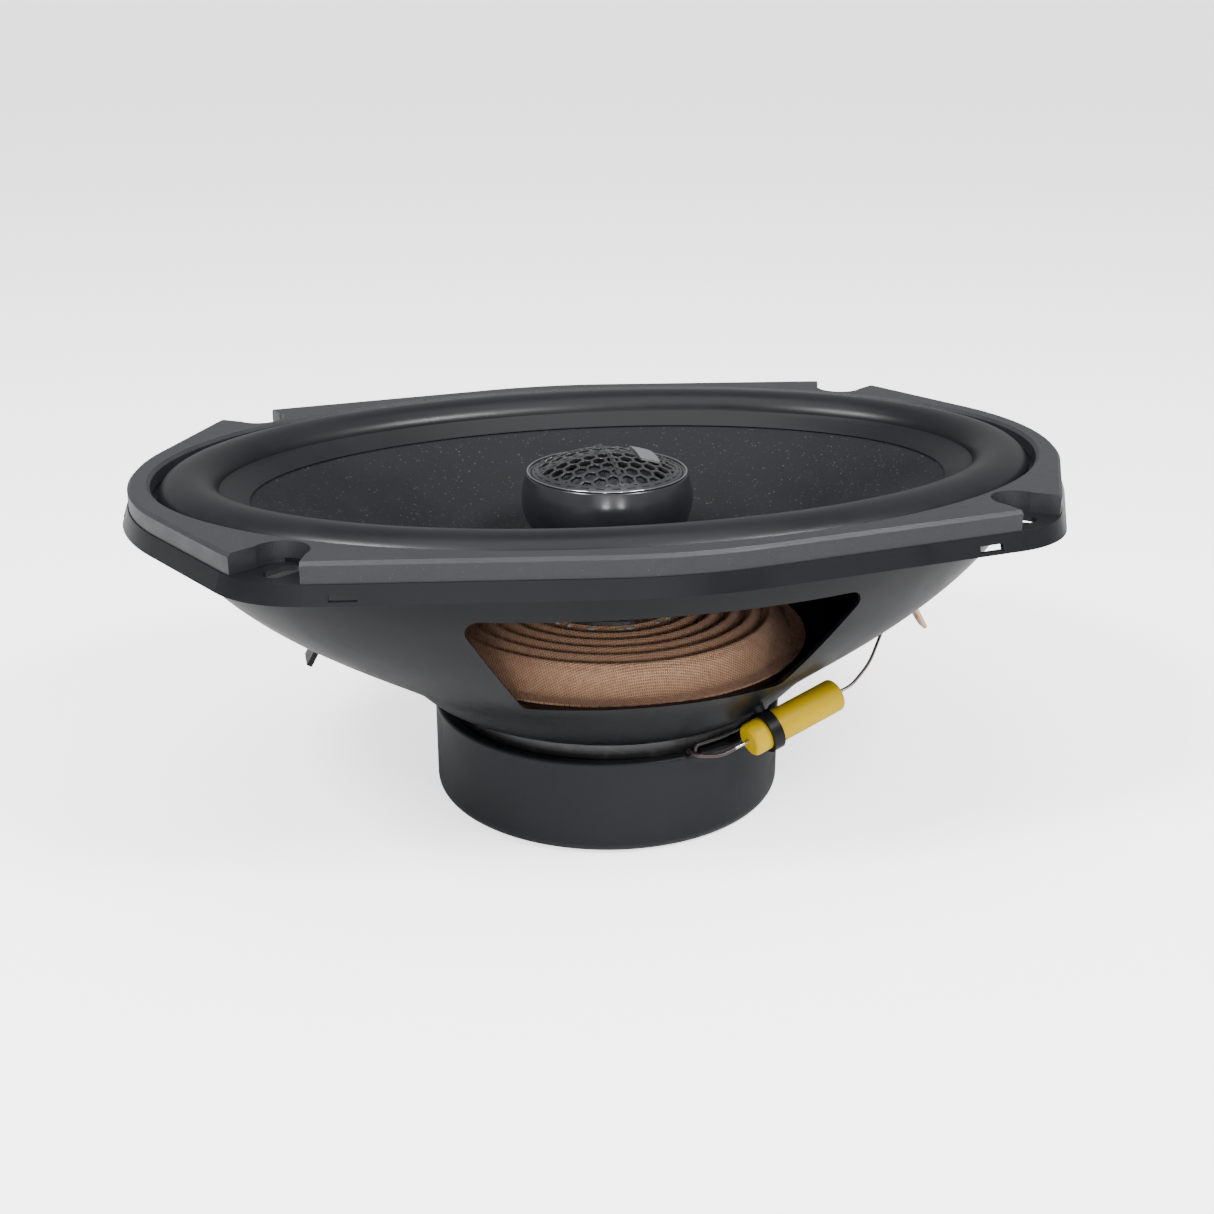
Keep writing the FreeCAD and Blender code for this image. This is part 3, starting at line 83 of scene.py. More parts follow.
def keep_box() -> None:
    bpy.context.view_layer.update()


keep_box()


# ------------------------------------------------------------------ shader graphs
class Graph:
    """A short way to place nodes in one tree and join them."""

    def __init__(self, tree: Tree) -> None:
        """Take over an empty tree."""
        self.tree = tree
        self.count = 0

    def node(self, kind: str, **settings: object) -> Node:
        """Place a node.

        Args:
            kind: the node's type, such as "ShaderNodeMath".
            settings: attributes of the node.

        Returns:
            The node.
        """
        made = self.tree.nodes.new(kind)
        made.location = (220 * (self.count % 9), -240 * (self.count // 9))
        self.count += 1
        for name, value in settings.items():
            setattr(made, name, value)
        return made

    def feed(self, socket: Socket, value: object) -> None:
        """Join a socket to another, or set its own value."""
        if isinstance(value, Socket):
            self.tree.links.new(value, socket)
        elif isinstance(value, tuple) and len(value) == 3 and socket.type == "RGBA":
            socket.default_value = (*value, 1.0)
        else:
            socket.default_value = value

    def math(self, operation: str, first: object, second: object = 0.0, third: object = 0.0) -> Socket:
        """Place a math node.

        Args:
            operation: the node's operation.
            first: a number or a socket.
            second: a number or a socket.
            third: a number or a socket.

        Returns:
            The result.
        """
        made = self.node("ShaderNodeMath", operation=operation)
        for socket, value in zip(made.inputs, (first, second, third)):
            self.feed(socket, value)
        return made.outputs[0]

    def span(self, value: object, low: float, high: float, to: Tuple[float, float] = (0.0, 1.0)) -> Socket:
        """Map a range of a value smoothly to another range and clamp it."""
        made = self.node("ShaderNodeMapRange", interpolation_type="SMOOTHSTEP")
        for socket, number in zip(made.inputs, (value, low, high, *to)):
            self.feed(socket, number)
        return made.outputs[0]

    def mix(self, factor: object, first: object, second: object) -> Socket:
        """Mix two colours by a factor."""
        made = self.node("ShaderNodeMix", data_type="RGBA", clamp_factor=True)
        self.feed(made.inputs[0], factor)
        self.feed(made.inputs[6], first)
        self.feed(made.inputs[7], second)
        return made.outputs[2]

    def noise(self, vector: object, scale: object, detail: float = 3.0, rough: float = 0.55) -> Socket:
        """A noise value between 0 and 1."""
        made = self.node("ShaderNodeTexNoise")
        self.feed(made.inputs["Vector"], vector)
        self.feed(made.inputs["Scale"], scale)
        made.inputs["Detail"].default_value = detail
        made.inputs["Roughness"].default_value = rough
        return made.outputs["Fac"]


class Effect(Enum):
    """The surface effects that several finishes share."""

    GRAIN = "surface grain"
    SPECKLE = "light specks"
    SCUFF = "fine scuffs"
    WEAVE = "plain weave"
    BRUSH = "turned metal"


class Effects:
    """Builds each shared effect once, as a node group."""

    def __init__(self) -> None:
        """Start with no groups."""
        self.groups: Dict[Effect, Tree] = {}

    def group(self, effect: Effect) -> Tree:
        """The node group of an effect, built at its first use."""
        if effect not in self.groups:
            makers: Dict[Effect, Callable[[], Tree]] = {
                Effect.GRAIN: self.grain,
                Effect.SPECKLE: self.speckle,
                Effect.SCUFF: self.scuff,
                Effect.WEAVE: self.weave,
                Effect.BRUSH: self.brush,
            }
            self.groups[effect] = makers[effect]()
        return self.groups[effect]

    @staticmethod
    def start(effect: Effect, outputs: Sequence[str],
              numbers: Sequence[str] = ("Scale",)) -> Tuple[Graph, Sockets, Sockets]:
        """Open a new group that takes a vector and numbers and gives numbers.

        Args:
            effect: the effect that the group is for.
            outputs: names of the numbers that it gives.
            numbers: names of the numbers that it takes.

        Returns:
            The graph, the sockets that come in, and the sockets that go out.
        """
        tree = bpy.data.node_groups.new(effect.value, "ShaderNodeTree")
        tree.interface.new_socket("Vector", in_out="INPUT", socket_type="NodeSocketVector")
        for way, names in (("INPUT", numbers), ("OUTPUT", outputs)):
            for name in names:
                tree.interface.new_socket(name, in_out=way, socket_type="NodeSocketFloat")
        graph = Graph(tree)
        return graph, graph.node("NodeGroupInput").outputs, graph.node("NodeGroupOutput").inputs

    def grain(self) -> Tree:
        """Fine moulded or sprayed grain, with a slow mottle under it."""
        g, into, out = self.start(Effect.GRAIN, ("Height", "Mottle"))
        fine = g.noise(into["Vector"], into["Scale"], 4.0, 0.6)
        finer = g.noise(into["Vector"], g.math("MULTIPLY", into["Scale"], 2.7), 2.0)
        slow = g.noise(into["Vector"], g.math("MULTIPLY", into["Scale"], 0.03), 3.0, 0.6)
        height = g.math("ADD", g.math("MULTIPLY", fine, 0.65), g.math("MULTIPLY", finer, 0.35))
        g.feed(out["Height"], height)
        g.feed(out["Mottle"], g.span(slow, 0.32, 0.68))
        return g.tree

    def speckle(self) -> Tree:
        """Scattered specks of uneven size."""
        g, into, out = self.start(Effect.SPECKLE, ("Mask",), ("Scale", "Size"))
        cells = g.node("ShaderNodeTexVoronoi")
        g.feed(cells.inputs["Vector"], into["Vector"])
        g.feed(cells.inputs["Scale"], into["Scale"])
        split = g.node("ShaderNodeSeparateColor")
        g.feed(split.inputs[0], cells.outputs["Color"])
        reach = g.math("MULTIPLY", g.math("POWER", split.outputs[0], 3.0), into["Size"])
        near = g.math("SUBTRACT", reach, cells.outputs["Distance"])
        mask = g.math("MULTIPLY", g.span(near, 0.0, 0.08), split.outputs[1])
        g.feed(out["Mask"], mask)
        return g.tree

    def scuff(self) -> Tree:
        """Short crossing scratches where parts were handled."""
        g, into, out = self.start(Effect.SCUFF, ("Mask",))
        layers = []
        for turn, stretch in ((0.6, (1.0, 22.0, 6.0)), (2.1, (20.0, 1.0, 8.0))):
            place = g.node("ShaderNodeMapping")
            g.feed(place.inputs["Vector"], into["Vector"])
            place.inputs["Rotation"].default_value = (0.3, 0.2, turn)
            place.inputs["Scale"].default_value = stretch
            lines = g.noise(place.outputs[0], into["Scale"], 2.0, 0.5)
            layers.append(g.span(g.math("ABSOLUTE", g.math("SUBTRACT", lines, 0.5)), 0.012, 0.0))
        wide = g.noise(into["Vector"], g.math("MULTIPLY", into["Scale"], 0.4))
        patches = g.span(wide, 0.56, 0.72)
        g.feed(out["Mask"], g.math("MULTIPLY", g.math("MAXIMUM", *layers), patches))
        return g.tree

    def weave(self) -> Tree:
        """Threads that cross over and under, with a mask of the gaps between them where shade is painted;
        one unit of the vector is one pair of threads.
        """
        g, into, out = self.start(Effect.WEAVE, ("Height", "Gap"))
        split = g.node("ShaderNodeSeparateXYZ")
        g.feed(split.inputs[0], into["Vector"])
        turns = g.math("MULTIPLY", into["Scale"], math.pi)
        across = g.math("SINE", g.math("MULTIPLY", split.outputs[0], turns))
        along = g.math("SINE", g.math("MULTIPLY", split.outputs[1], turns))
        side = g.math("MULTIPLY", across, along)
        warp = g.math("MULTIPLY", g.math("ABSOLUTE", across), g.math("MULTIPLY_ADD", side, 0.5, 0.5))
        weft = g.math("MULTIPLY", g.math("ABSOLUTE", along), g.math("MULTIPLY_ADD", side, -0.5, 0.5))
        height = g.math("MAXIMUM", warp, weft)
        g.feed(out["Height"], height)
        # Gap: the low places between threads, which the weave finishes fill with painted shade
        g.feed(out["Gap"], g.span(height, 0.42, 0.1))
        return g.tree

    def brush(self) -> Tree:
        """Circular tool marks round the Z axis, with spots of tarnish."""
        g, into, out = self.start(Effect.BRUSH, ("Height", "Tarnish"))
        split = g.node("ShaderNodeSeparateXYZ")
        g.feed(split.inputs[0], into["Vector"])
        squares = [g.math("MULTIPLY", s, s) for s in split.outputs[:2]]
        radius = g.math("SQRT", g.math("ADD", *squares))
        ring = g.node("ShaderNodeCombineXYZ")
        g.feed(ring.inputs[0], radius)
        g.feed(ring.inputs[1], g.math("MULTIPLY", split.outputs[2], 0.6))
        g.feed(out["Height"], g.noise(ring.outputs[0], into["Scale"], 3.0, 0.7))
        spots = g.noise(into["Vector"], g.math("MULTIPLY", into["Scale"], 0.12), 4.0, 0.65)
        g.feed(out["Tarnish"], g.span(spots, 0.5, 0.75))
        return g.tree


EFFECTS = Effects()


# ------------------------------------------------------------------ finishes
class Pattern(Enum):
    """What a finish's relief follows."""

    GRAIN = "grain"
    WEAVE = "weave"
    TURNED = "turned"


@dataclass(frozen=True)
class Finish:
    """One surface finish: its colours, gloss and relief. Scales are per metre."""

    name: str
    base: Colour
    mottled: Colour
    rough: Tuple[float, float] = (0.4, 0.55)
    metal: float = 0.0
    pattern: Pattern = Pattern.GRAIN
    scale: float = 1500.0
    relief: float = 0.00004
    speck: Optional[Colour] = None
    speck_scale: float = 900.0
    speck_size: float = 0.5
    scuffed: float = 0.0
    gloss: float = 0.5
    coat: float = 0.0
    sheen: float = 0.0
    on_uv: bool = False

    def build(self) -> bpy.types.Material:
        """Build the material.

        Returns:
            A node material named after the finish.
        """
        material = bpy.data.materials.new(self.name)
        material.use_nodes = True
        tree = material.node_tree
        tree.nodes.clear()
        g = Graph(tree)
        shader = g.node("ShaderNodeBsdfPrincipled")
        out = g.node("ShaderNodeOutputMaterial")
        g.feed(out.inputs["Surface"], shader.outputs[0])
        place = g.node("ShaderNodeTexCoord").outputs["UV" if self.on_uv else "Object"]
        height, tone, colour = self.relief_of(g, place)
        rough = g.span(tone, 0.0, 1.0, self.rough)
        if self.speck:
            specks = self.placed(g, Effect.SPECKLE, place, self.speck_scale)
            specks.inputs["Size"].default_value = self.speck_size
            colour = g.mix(specks.outputs["Mask"], colour, self.speck)
        if self.scuffed:
            marks = self.placed(g, Effect.SCUFF, place, 60.0)
            share = g.math("MULTIPLY", marks.outputs["Mask"], self.scuffed)
            colour = g.mix(share, colour, tuple(min(1.0, c * 2.5 + 0.05) for c in self.base))
            rough = g.math("ADD", rough, g.math("MULTIPLY", share, 0.25))
        bump = g.node("ShaderNodeBump")
        bump.inputs["Strength"].default_value = 1.0
        bump.inputs["Distance"].default_value = self.relief
        g.feed(bump.inputs["Height"], height)
        g.feed(shader.inputs["Normal"], bump.outputs[0])
        g.feed(shader.inputs["Base Color"], colour)
        g.feed(shader.inputs["Roughness"], rough)
        shader.inputs["Metallic"].default_value = self.metal
        shader.inputs["Specular IOR Level"].default_value = self.gloss
        shader.inputs["Coat Weight"].default_value = self.coat
        shader.inputs["Coat Roughness"].default_value = 0.12
        shader.inputs["Sheen Weight"].default_value = self.sheen
        return material

    @staticmethod
    def placed(g: Graph, effect: Effect, place: Socket, scale: float) -> Node:
        """Place an effect's group and give it its place and scale."""
        made = g.node("ShaderNodeGroup", node_tree=EFFECTS.group(effect))
        g.feed(made.inputs["Vector"], place)
        made.inputs["Scale"].default_value = scale
        return made

    def relief_of(self, g: Graph, place: Socket) -> Tuple[object, object, object]:
        """Relief, tone and colour of the finish's pattern.

        Returns:
            Sockets for height, tone from 0 to 1, and colour.
        """
        if self.pattern is Pattern.WEAVE:
            cloth = self.placed(g, Effect.WEAVE, place, self.scale)
            slubs = g.noise(place, self.scale * 0.35, 4.0, 0.7)
            tone = g.span(slubs, 0.3, 0.7)
            colour = g.mix(tone, self.base, self.mottled)
            # painted shade: a darker copy of the base colour laid into the gaps between threads
            dark = tuple(0.3 * c for c in self.base)
            return cloth.outputs["Height"], tone, g.mix(cloth.outputs["Gap"], colour, dark)
        if self.pattern is Pattern.TURNED:
            metal = self.placed(g, Effect.BRUSH, place, self.scale)
            tone = metal.outputs["Tarnish"]
            return metal.outputs["Height"], tone, g.mix(tone, self.base, self.mottled)
        grain = self.placed(g, Effect.GRAIN, place, self.scale)
        tone = grain.outputs["Mottle"]
        return grain.outputs["Height"], tone, g.mix(tone, self.base, self.mottled)


BLACK_PAINT = Finish(
    "black_paint", (0.0046, 0.0048, 0.0058), (0.0060, 0.0063, 0.0075), (0.34, 0.42), scale=1100.0,
    relief=0.00002, scuffed=0.04, gloss=0.115)
TRIM = Finish(
    "slate_trim", (0.0125, 0.0132, 0.0152), (0.0155, 0.0163, 0.0187), (0.42, 0.5), scale=2600.0,
    relief=0.00005, speck=(0.035, 0.0365, 0.041), speck_scale=1900.0, speck_size=0.32, scuffed=0.04,
    gloss=0.26)
ROLL_RUBBER = Finish(
    "roll_rubber", (0.0048, 0.0050, 0.0060), (0.0062, 0.0065, 0.0077), (0.32, 0.40), scale=900.0,
    relief=0.00001, gloss=0.17)
CONE_PULP = Finish(
    "cone_pulp", (0.0058, 0.0060, 0.0072), (0.0076, 0.0079, 0.0094), (0.55, 0.68), scale=1300.0,
    relief=0.00010, speck=(0.038, 0.036, 0.032), speck_scale=1550.0, speck_size=0.44, gloss=0.12)
SPIDER_CLOTH = Finish(
    "spider_cloth", (0.46, 0.25, 0.152), (0.56, 0.33, 0.215), (0.72, 0.86), pattern=Pattern.WEAVE,
    scale=1400.0, relief=0.00016, sheen=0.1, gloss=0.15, on_uv=True)
BOOT_RUBBER = Finish(
    "boot_rubber", (0.0066, 0.0073, 0.0092), (0.0084, 0.0093, 0.0115), (0.4, 0.48), scale=800.0,
    relief=0.00002, scuffed=0.04, gloss=0.14)
POD_PLASTIC = Finish(
    "pod_plastic", (0.010, 0.0105, 0.0125), (0.013, 0.0135, 0.016), (0.20, 0.26), scale=1800.0,
    relief=0.000005)
GRILLE_PLASTIC = Finish(
    "grille_plastic", (0.008, 0.008, 0.009), (0.012, 0.012, 0.0135), (0.26, 0.36), scale=2400.0,
    relief=0.00001)
DOME_FILM = Finish(
    "dome_film", (0.022, 0.023, 0.027), (0.030, 0.031, 0.036), (0.3, 0.38), scale=1200.0,
    relief=0.00001, gloss=0.3)
SOFT_EDGE = Finish(
    "soft_edge", (0.02, 0.02, 0.02), (0.03, 0.03, 0.03), (0.5, 0.6), scale=1500.0, relief=0.00002)
BRIGHT = Finish(
    "bright_ring", (0.30, 0.31, 0.33), (0.22, 0.23, 0.25), (0.16, 0.26), 1.0, Pattern.TURNED,
    scale=2500.0, relief=0.00001)
SILVER = Finish(
    "badge_silver", (0.27, 0.275, 0.285), (0.20, 0.205, 0.215), (0.34, 0.46), 0.85, scale=2600.0,
    relief=0.00003, scuffed=0.3)
MOTOR_STEEL = Finish(
    "motor_steel", (0.045, 0.045, 0.047), (0.075, 0.07, 0.066), (0.36, 0.52), 0.8, Pattern.TURNED,
    scale=1600.0, relief=0.00003, scuffed=0.2)
ZINC = Finish(
    "zinc_plate", (0.55, 0.55, 0.53), (0.42, 0.41, 0.36), (0.26, 0.42), 1.0, Pattern.TURNED,
    scale=2200.0, relief=0.00002, scuffed=0.3)
FERRITE = Finish(
    "ferrite", (0.035, 0.035, 0.037), (0.05, 0.048, 0.046), (0.6, 0.75), 0.2, scale=700.0,
    relief=0.00008)
NICKEL = Finish(
    "nickel", (0.62, 0.6, 0.56), (0.5, 0.48, 0.45), (0.18, 0.3), 1.0, scale=1500.0, relief=0.00001)
COPPER = Finish(
    "enamelled_copper", (0.48, 0.17, 0.06), (0.36, 0.12, 0.05), (0.25, 0.35), 0.9, Pattern.TURNED,
    scale=2400.0, relief=0.00002, coat=0.4)
FOIL = Finish(
    "former_foil", (0.6, 0.6, 0.6), (0.48, 0.48, 0.47), (0.25, 0.4), 1.0, Pattern.TURNED, scale=1800.0,
    relief=0.00001)
BRASS = Finish(
    "terminal_brass", (0.50, 0.29, 0.17), (0.36, 0.19, 0.11), (0.28, 0.45), 1.0, scale=1400.0,
    relief=0.00002, scuffed=0.4)
TINNED = Finish(
    "tinned_copper", (0.50, 0.48, 0.45), (0.38, 0.35, 0.32), (0.25, 0.4), 1.0, scale=1500.0,
    relief=0.00002)
BOARD = Finish(
    "fibre_board", (0.045, 0.026, 0.016), (0.065, 0.038, 0.022), (0.5, 0.65), pattern=Pattern.WEAVE,
    scale=2200.0, relief=0.00003)
CLIP_PLASTIC = Finish(
    "clip_plastic", (0.004, 0.004, 0.0045), (0.006, 0.006, 0.007), (0.35, 0.48), scale=1600.0,
    relief=0.00003, scuffed=0.05, gloss=0.12)
CAP_YELLOW = Finish(
    "capacitor_film", (0.40, 0.26, 0.0004), (0.46, 0.31, 0.0008), (0.42, 0.52), scale=420.0,
    relief=0.00003, gloss=0.10)
DARK_WIRE = Finish(
    "positive_wire", (0.016, 0.010, 0.010), (0.026, 0.013, 0.012), (0.35, 0.45), scale=900.0,
    relief=0.00002)
BLACK_WIRE = Finish(
    "negative_wire", (0.008, 0.008, 0.008), (0.013, 0.013, 0.013), (0.35, 0.45), scale=900.0,
    relief=0.00002)
TINSEL = Finish(
    "tinsel_braid", (0.50, 0.30, 0.17), (0.38, 0.22, 0.12), (0.4, 0.55), 0.4, Pattern.WEAVE,
    scale=3500.0, relief=0.00006)
CLEAR_GLUE = Finish(
    "dried_glue", (0.30, 0.29, 0.27), (0.42, 0.41, 0.39), (0.2, 0.32), scale=1400.0, relief=0.00004)
SOLDER = Finish(
    "solder", (0.6, 0.6, 0.61), (0.48, 0.48, 0.48), (0.2, 0.36), 1.0, scale=900.0, relief=0.00004)


class Paintbox:
    """Builds each finish once and dresses objects in it."""

    def __init__(self) -> None:
        """Start with no materials."""
        self.made: Dict[str, bpy.types.Material] = {}

    def material(self, finish: Finish) -> bpy.types.Material:
        """The finish's material."""
        if finish.name not in self.made:
            self.made[finish.name] = finish.build()
        return self.made[finish.name]

    def dress(self, thing: Thing, finish: Finish) -> None:
        """Put one finish on the whole of an object."""
        thing.data.materials.clear()
        thing.data.materials.append(self.material(finish))

    def dress_nodes(self, finishes: Dict[str, Finish]) -> None:
        """Put finishes on CAD nodes, by name."""
        for name, finish in finishes.items():
            self.dress(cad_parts[name], finish)
            LOG.info("dressed %s in %s", name, finish.name)


PAINT = Paintbox()


# ------------------------------------------------------------------ mesh work, in millimetres
class Station(NamedTuple):
    """One oval of a sweep: half length, half width, height, and how far it follows the cone."""

    a: float
    b: float
    z: float
    share: float = 0.0


def hoop(r: float, z: float, share: float = 0.0) -> Station:
    """A round station."""
    return Station(r, r, z, share)


class Corner(NamedTuple):
    """A corner of a turned section: radius, height and how far its rounding reaches."""

    r: float
    z: float
    reach: float = 0.0


def turned_section(corners: Sequence[Corner], steps: int = 4) -> List[Station]:
    """Round the corners of a closed section that will be turned about Z.

    Args:
        corners: the section's corners in order.
        steps: facets in each rounding.

    Returns:
        Stations for sweep().
    """
    places = [Vector((c.r, c.z)) for c in corners]
    line: List[Vector] = []
    for i, corner in enumerate(corners):
        here = places[i]
        if corner.reach <= 0:
            line.append(here)
            continue
        start = here + (places[i - 1] - here).normalized() * corner.reach
        end = here + (places[(i + 1) % len(places)] - here).normalized() * corner.reach
        for step in range(steps + 1):
            t = step / steps
            line.append(start * (1 - t) ** 2 + here * 2 * t * (1 - t) + end * t ** 2)
    line.append(line[0])
    return [hoop(p.x, p.y) for p in line]


def sweep(stations: Sequence[Station], segments: int) -> Mesh:
    """Extrude an oval loop from station to station.

    Args:
        stations: the ovals in order; a last one like the first closes the ring, and a radius of 0 a pole.
        segments: points round each oval.

    Returns:
        The mesh, with the stations' shares in its layer "share".
    """
    bm = bmesh.new()
    layer = bm.verts.layers.float.new("share")
    first = stations[0]
    verts = bmesh.ops.create_circle(bm, segments=segments, radius=1.0)["verts"]
    bmesh.ops.scale(bm, vec=(first.a, first.b, 1.0), verts=verts)
    bmesh.ops.translate(bm, vec=(0, 0, first.z), verts=verts)
    for vert in verts:
        vert[layer] = first.share
    edges = bm.edges[:]
    for last, here in zip(stations, stations[1:]):
        made = bmesh.ops.extrude_edge_only(bm, edges=edges)["geom"]
        verts = [v for v in made if isinstance(v, bmesh.types.BMVert)]
        fresh = set(verts)
        edges = [e for e in made if isinstance(e, bmesh.types.BMEdge) and fresh.issuperset(e.verts)]
        bmesh.ops.scale(bm, vec=(here.a / last.a, here.b / last.b, 1.0), verts=verts)
        bmesh.ops.translate(bm, vec=(0, 0, here.z - last.z), verts=verts)
        for vert in verts:
            vert[layer] = here.share
    return bm


def turn(corners: Sequence[Corner], segments: int = 160, steps: int = 4) -> Mesh:
    """Turn a closed section with rounded corners about the Z axis."""
    return sweep(turned_section(corners, steps), segments)


def soften(bm: Mesh, geom: Sequence, offset: float, affect: str = "EDGES", segments: int = 2) -> None:
    """Round edges or corners of a mesh."""
    bmesh.ops.bevel(bm, geom=geom, offset=offset, offset_type="OFFSET", affect=affect, segments=segments,
                    profile=0.5, material=-1)


def add_stud(bm: Mesh, place: Matrix, rounding: float) -> None:
    """Add a small block with rounded edges to a mesh.

    Args:
        bm: the mesh.
        place: where it goes, with its size as the scale.
        rounding: how far its edges are rounded.
    """
    made = bmesh.ops.create_cube(bm, size=1.0, matrix=place)
    soften(bm, list({e for v in made["verts"] for e in v.link_edges}), rounding)


def finished(bm: Mesh, name: str, finish: Finish, sharp: float = 40.0,
             place: Optional[Matrix] = None) -> Thing:
    """Close a mesh, face it outwards and make it an object in metres.

    Args:
        bm: the mesh in millimetres; it is freed.
        name: the object's name.
        finish: what it is dressed in.
        sharp: edges bent by more degrees than this stay sharp.
        place: where the mesh goes, in millimetres.

    Returns:
        The object, at the origin.
    """
    bmesh.ops.remove_doubles(bm, verts=bm.verts, dist=0.0005)
    bmesh.ops.recalc_face_normals(bm, faces=bm.faces)
    bmesh.ops.transform(bm, matrix=Matrix.Scale(MM, 4) @ (place or Matrix.Identity(4)), verts=bm.verts)
    for face in bm.faces:
        face.smooth = True
    mesh = bpy.data.meshes.new(name)
    bm.to_mesh(mesh)
    bm.free()
    mesh.set_sharp_from_angle(angle=math.radians(sharp))
    thing = bpy.data.objects.new(name, mesh)
    bpy.context.scene.collection.objects.link(thing)
    PAINT.dress(thing, finish)
    return thing


def stand_for(thing: Thing, body: str, slot: str, *nodes: str) -> None:
    """Let a piece ride on a body and stand for CAD nodes."""
    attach(thing, body)
    if nodes:
        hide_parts(*nodes)
    LOG.info("%s rides on %s for %s", thing.name, body, ", ".join(nodes) or "no node")


def flex(thing: Thing, slot: str, moving: str, *nodes: str) -> None:
    """Read a piece's shares, bake its place into its mesh and hide the CAD nodes that it stands for."""
    shares = [0.0] * len(thing.data.vertices)
    thing.data.attributes["share"].data.foreach_get("value", shares)
    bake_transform(thing)
    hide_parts(*nodes)
    LOG.info("%s bends to %s for %s", thing.name, moving, ", ".join(nodes))


# ------------------------------------------------------------------ woofer
@dataclass
class Woofer:
    """Cone, surround, spider, coil and tinsel leads. Sizes in millimetres."""

    roll_a: float = 110.0
    roll_b: float = 71.9
    roll_width: float = 14.4
    roll_height: float = 5.4
    rubber: float = 0.7
    plate_top: float = 4.2
    flange_reach: float = 3.95
    cone_depth: float = 30.2
    cone_sag: float = 1.6
    paper: float = 0.9
    coil_radius: float = 17.7
    band_share: float = 0.085
    ledge_z: float = -37.8
    spider_outer: float = 51.6
    spider_knee: float = 47.0
    spider_wall_top: float = 44.4
    spider_rise: float = 6.0
    spider_roll: float = 1.3
    spider_rolls: int = 5
    cloth: float = 0.5
    gap: float = 0.15
    neck: float = 3.0
    turns: int = 44
    drops: int = 22
    drop_seed: int = 11
    tinsel_route: Tuple[Point, ...] = (
        (75.7, 7.0, -29.4), (73.5, 7.0, -25.5), (62.0, 11.5, -20.0), (49.0, 15.5, -22.0),
        (37.0, 18.5, -25.0), (21.8, 19.6, -26.6), (14.3, 14.3, -27.6))
    tinsel_radius: float = 0.6

    @property
    def cone_a(self) -> float:
        """Half length of the cone's rim."""
        return self.roll_a - self.roll_width

    @property
    def cone_b(self) -> float:
        """Half width of the cone's rim."""
        return self.roll_b - self.roll_width

    def on_cone(self, share: float, lift: float) -> Station:
        """A station on the cone, from the rim (0) to the neck (1)."""
        a = self.cone_a + (self.coil_radius - self.cone_a) * share
        b = self.cone_b + (self.coil_radius - self.cone_b) * share
        sag = self.cone_sag * math.sin(math.pi * share)
        return Station(a, b, self.plate_top - self.cone_depth * share + lift - sag, 1.0)

    def surround(self) -> None:
        """Half roll of rubber, with a flange under the trim and a band on the cone."""
        steps = 28
        over: List[Station] = []
        under: List[Station] = []
        for i in range(steps + 1):
            turn_by = math.pi * i / steps
            across = self.roll_width / 2 * (1 - math.cos(turn_by))
            rise = self.roll_height * math.sin(turn_by)
            shrink = self.rubber * math.cos(turn_by)
            share = across / self.roll_width
            top = self.plate_top + self.rubber + rise
            over.append(Station(self.roll_a - across, self.roll_b - across, top, share))
            low = self.plate_top + max(rise - self.rubber * math.sin(turn_by), 0.0)
            under.append(Station(self.roll_a - across - shrink, self.roll_b - across - shrink, low, share))
        lift = self.paper + self.gap
        band = [self.on_cone(self.band_share * i / 4, lift) for i in range(5)]
        crown = [s._replace(z=s.z + self.rubber * 0.55) for s in band]
        lip = [crown[-1]._replace(a=crown[-1].a - 0.35, b=crown[-1].b - 0.35, z=crown[-1].z - 0.25)]
        bead = [crown[0]._replace(a=crown[0].a + 0.4, b=crown[0].b + 0.4, z=crown[0].z + 0.45)]
        reach = self.flange_reach
        low_rim = Station(self.roll_a + reach, self.roll_b + reach, self.plate_top + 0.02)
        high_rim = low_rim._replace(z=self.plate_top + self.rubber)
        ring = [low_rim, high_rim] + over + bead + crown + lip + band[::-1] + under[::-1] + [low_rim]
        thing = finished(sweep(ring, 288), "surround_roll", ROLL_RUBBER, 50.0)
        flex(thing, "surround_rubber", "cone_assembly", "surround")

    def cone(self) -> None:
        """Pressed cone with a short neck glued round the coil former."""
        count = 28
        over = [self.on_cone(i / count, self.paper) for i in range(count + 1)]
        under = [self.on_cone(i / count, 0.0) for i in range(count + 1)]
        foot = self.plate_top - self.cone_depth - self.neck
        neck_out = self.coil_radius + self.paper
        neck_top = self.plate_top - self.cone_depth + self.paper + 0.3
        inner = [hoop(self.coil_radius, neck_top, 1.0), hoop(self.coil_radius, foot, 1.0),
                 hoop(neck_out, foot, 1.0), hoop(neck_out, under[-1].z + 0.1, 1.0)]
        shell = sweep(over + inner + under[-2::-1] + [over[0]], 256)
        thing = finished(shell, "cone_shell", CONE_PULP, 40.0)
        stand_for(thing, "cone_assembly", "cone_pulp", "cone")

    def glue_fillet(self) -> None:
        """Bead of dark glue where the cone meets the former."""
        z = self.plate_top - self.cone_depth + self.paper
        r = self.coil_radius
        corners = [Corner(r, z + 1.3, 0.3), Corner(r + 2.4, z + 0.75, 0.5), Corner(r + 1.9, z + 0.2),
                   Corner(r, z)]
        thing = finished(turn(corners, 128), "neck_glue", CLIP_PLASTIC, 50.0)
        stand_for(thing, "cone_assembly", "cone_pulp")

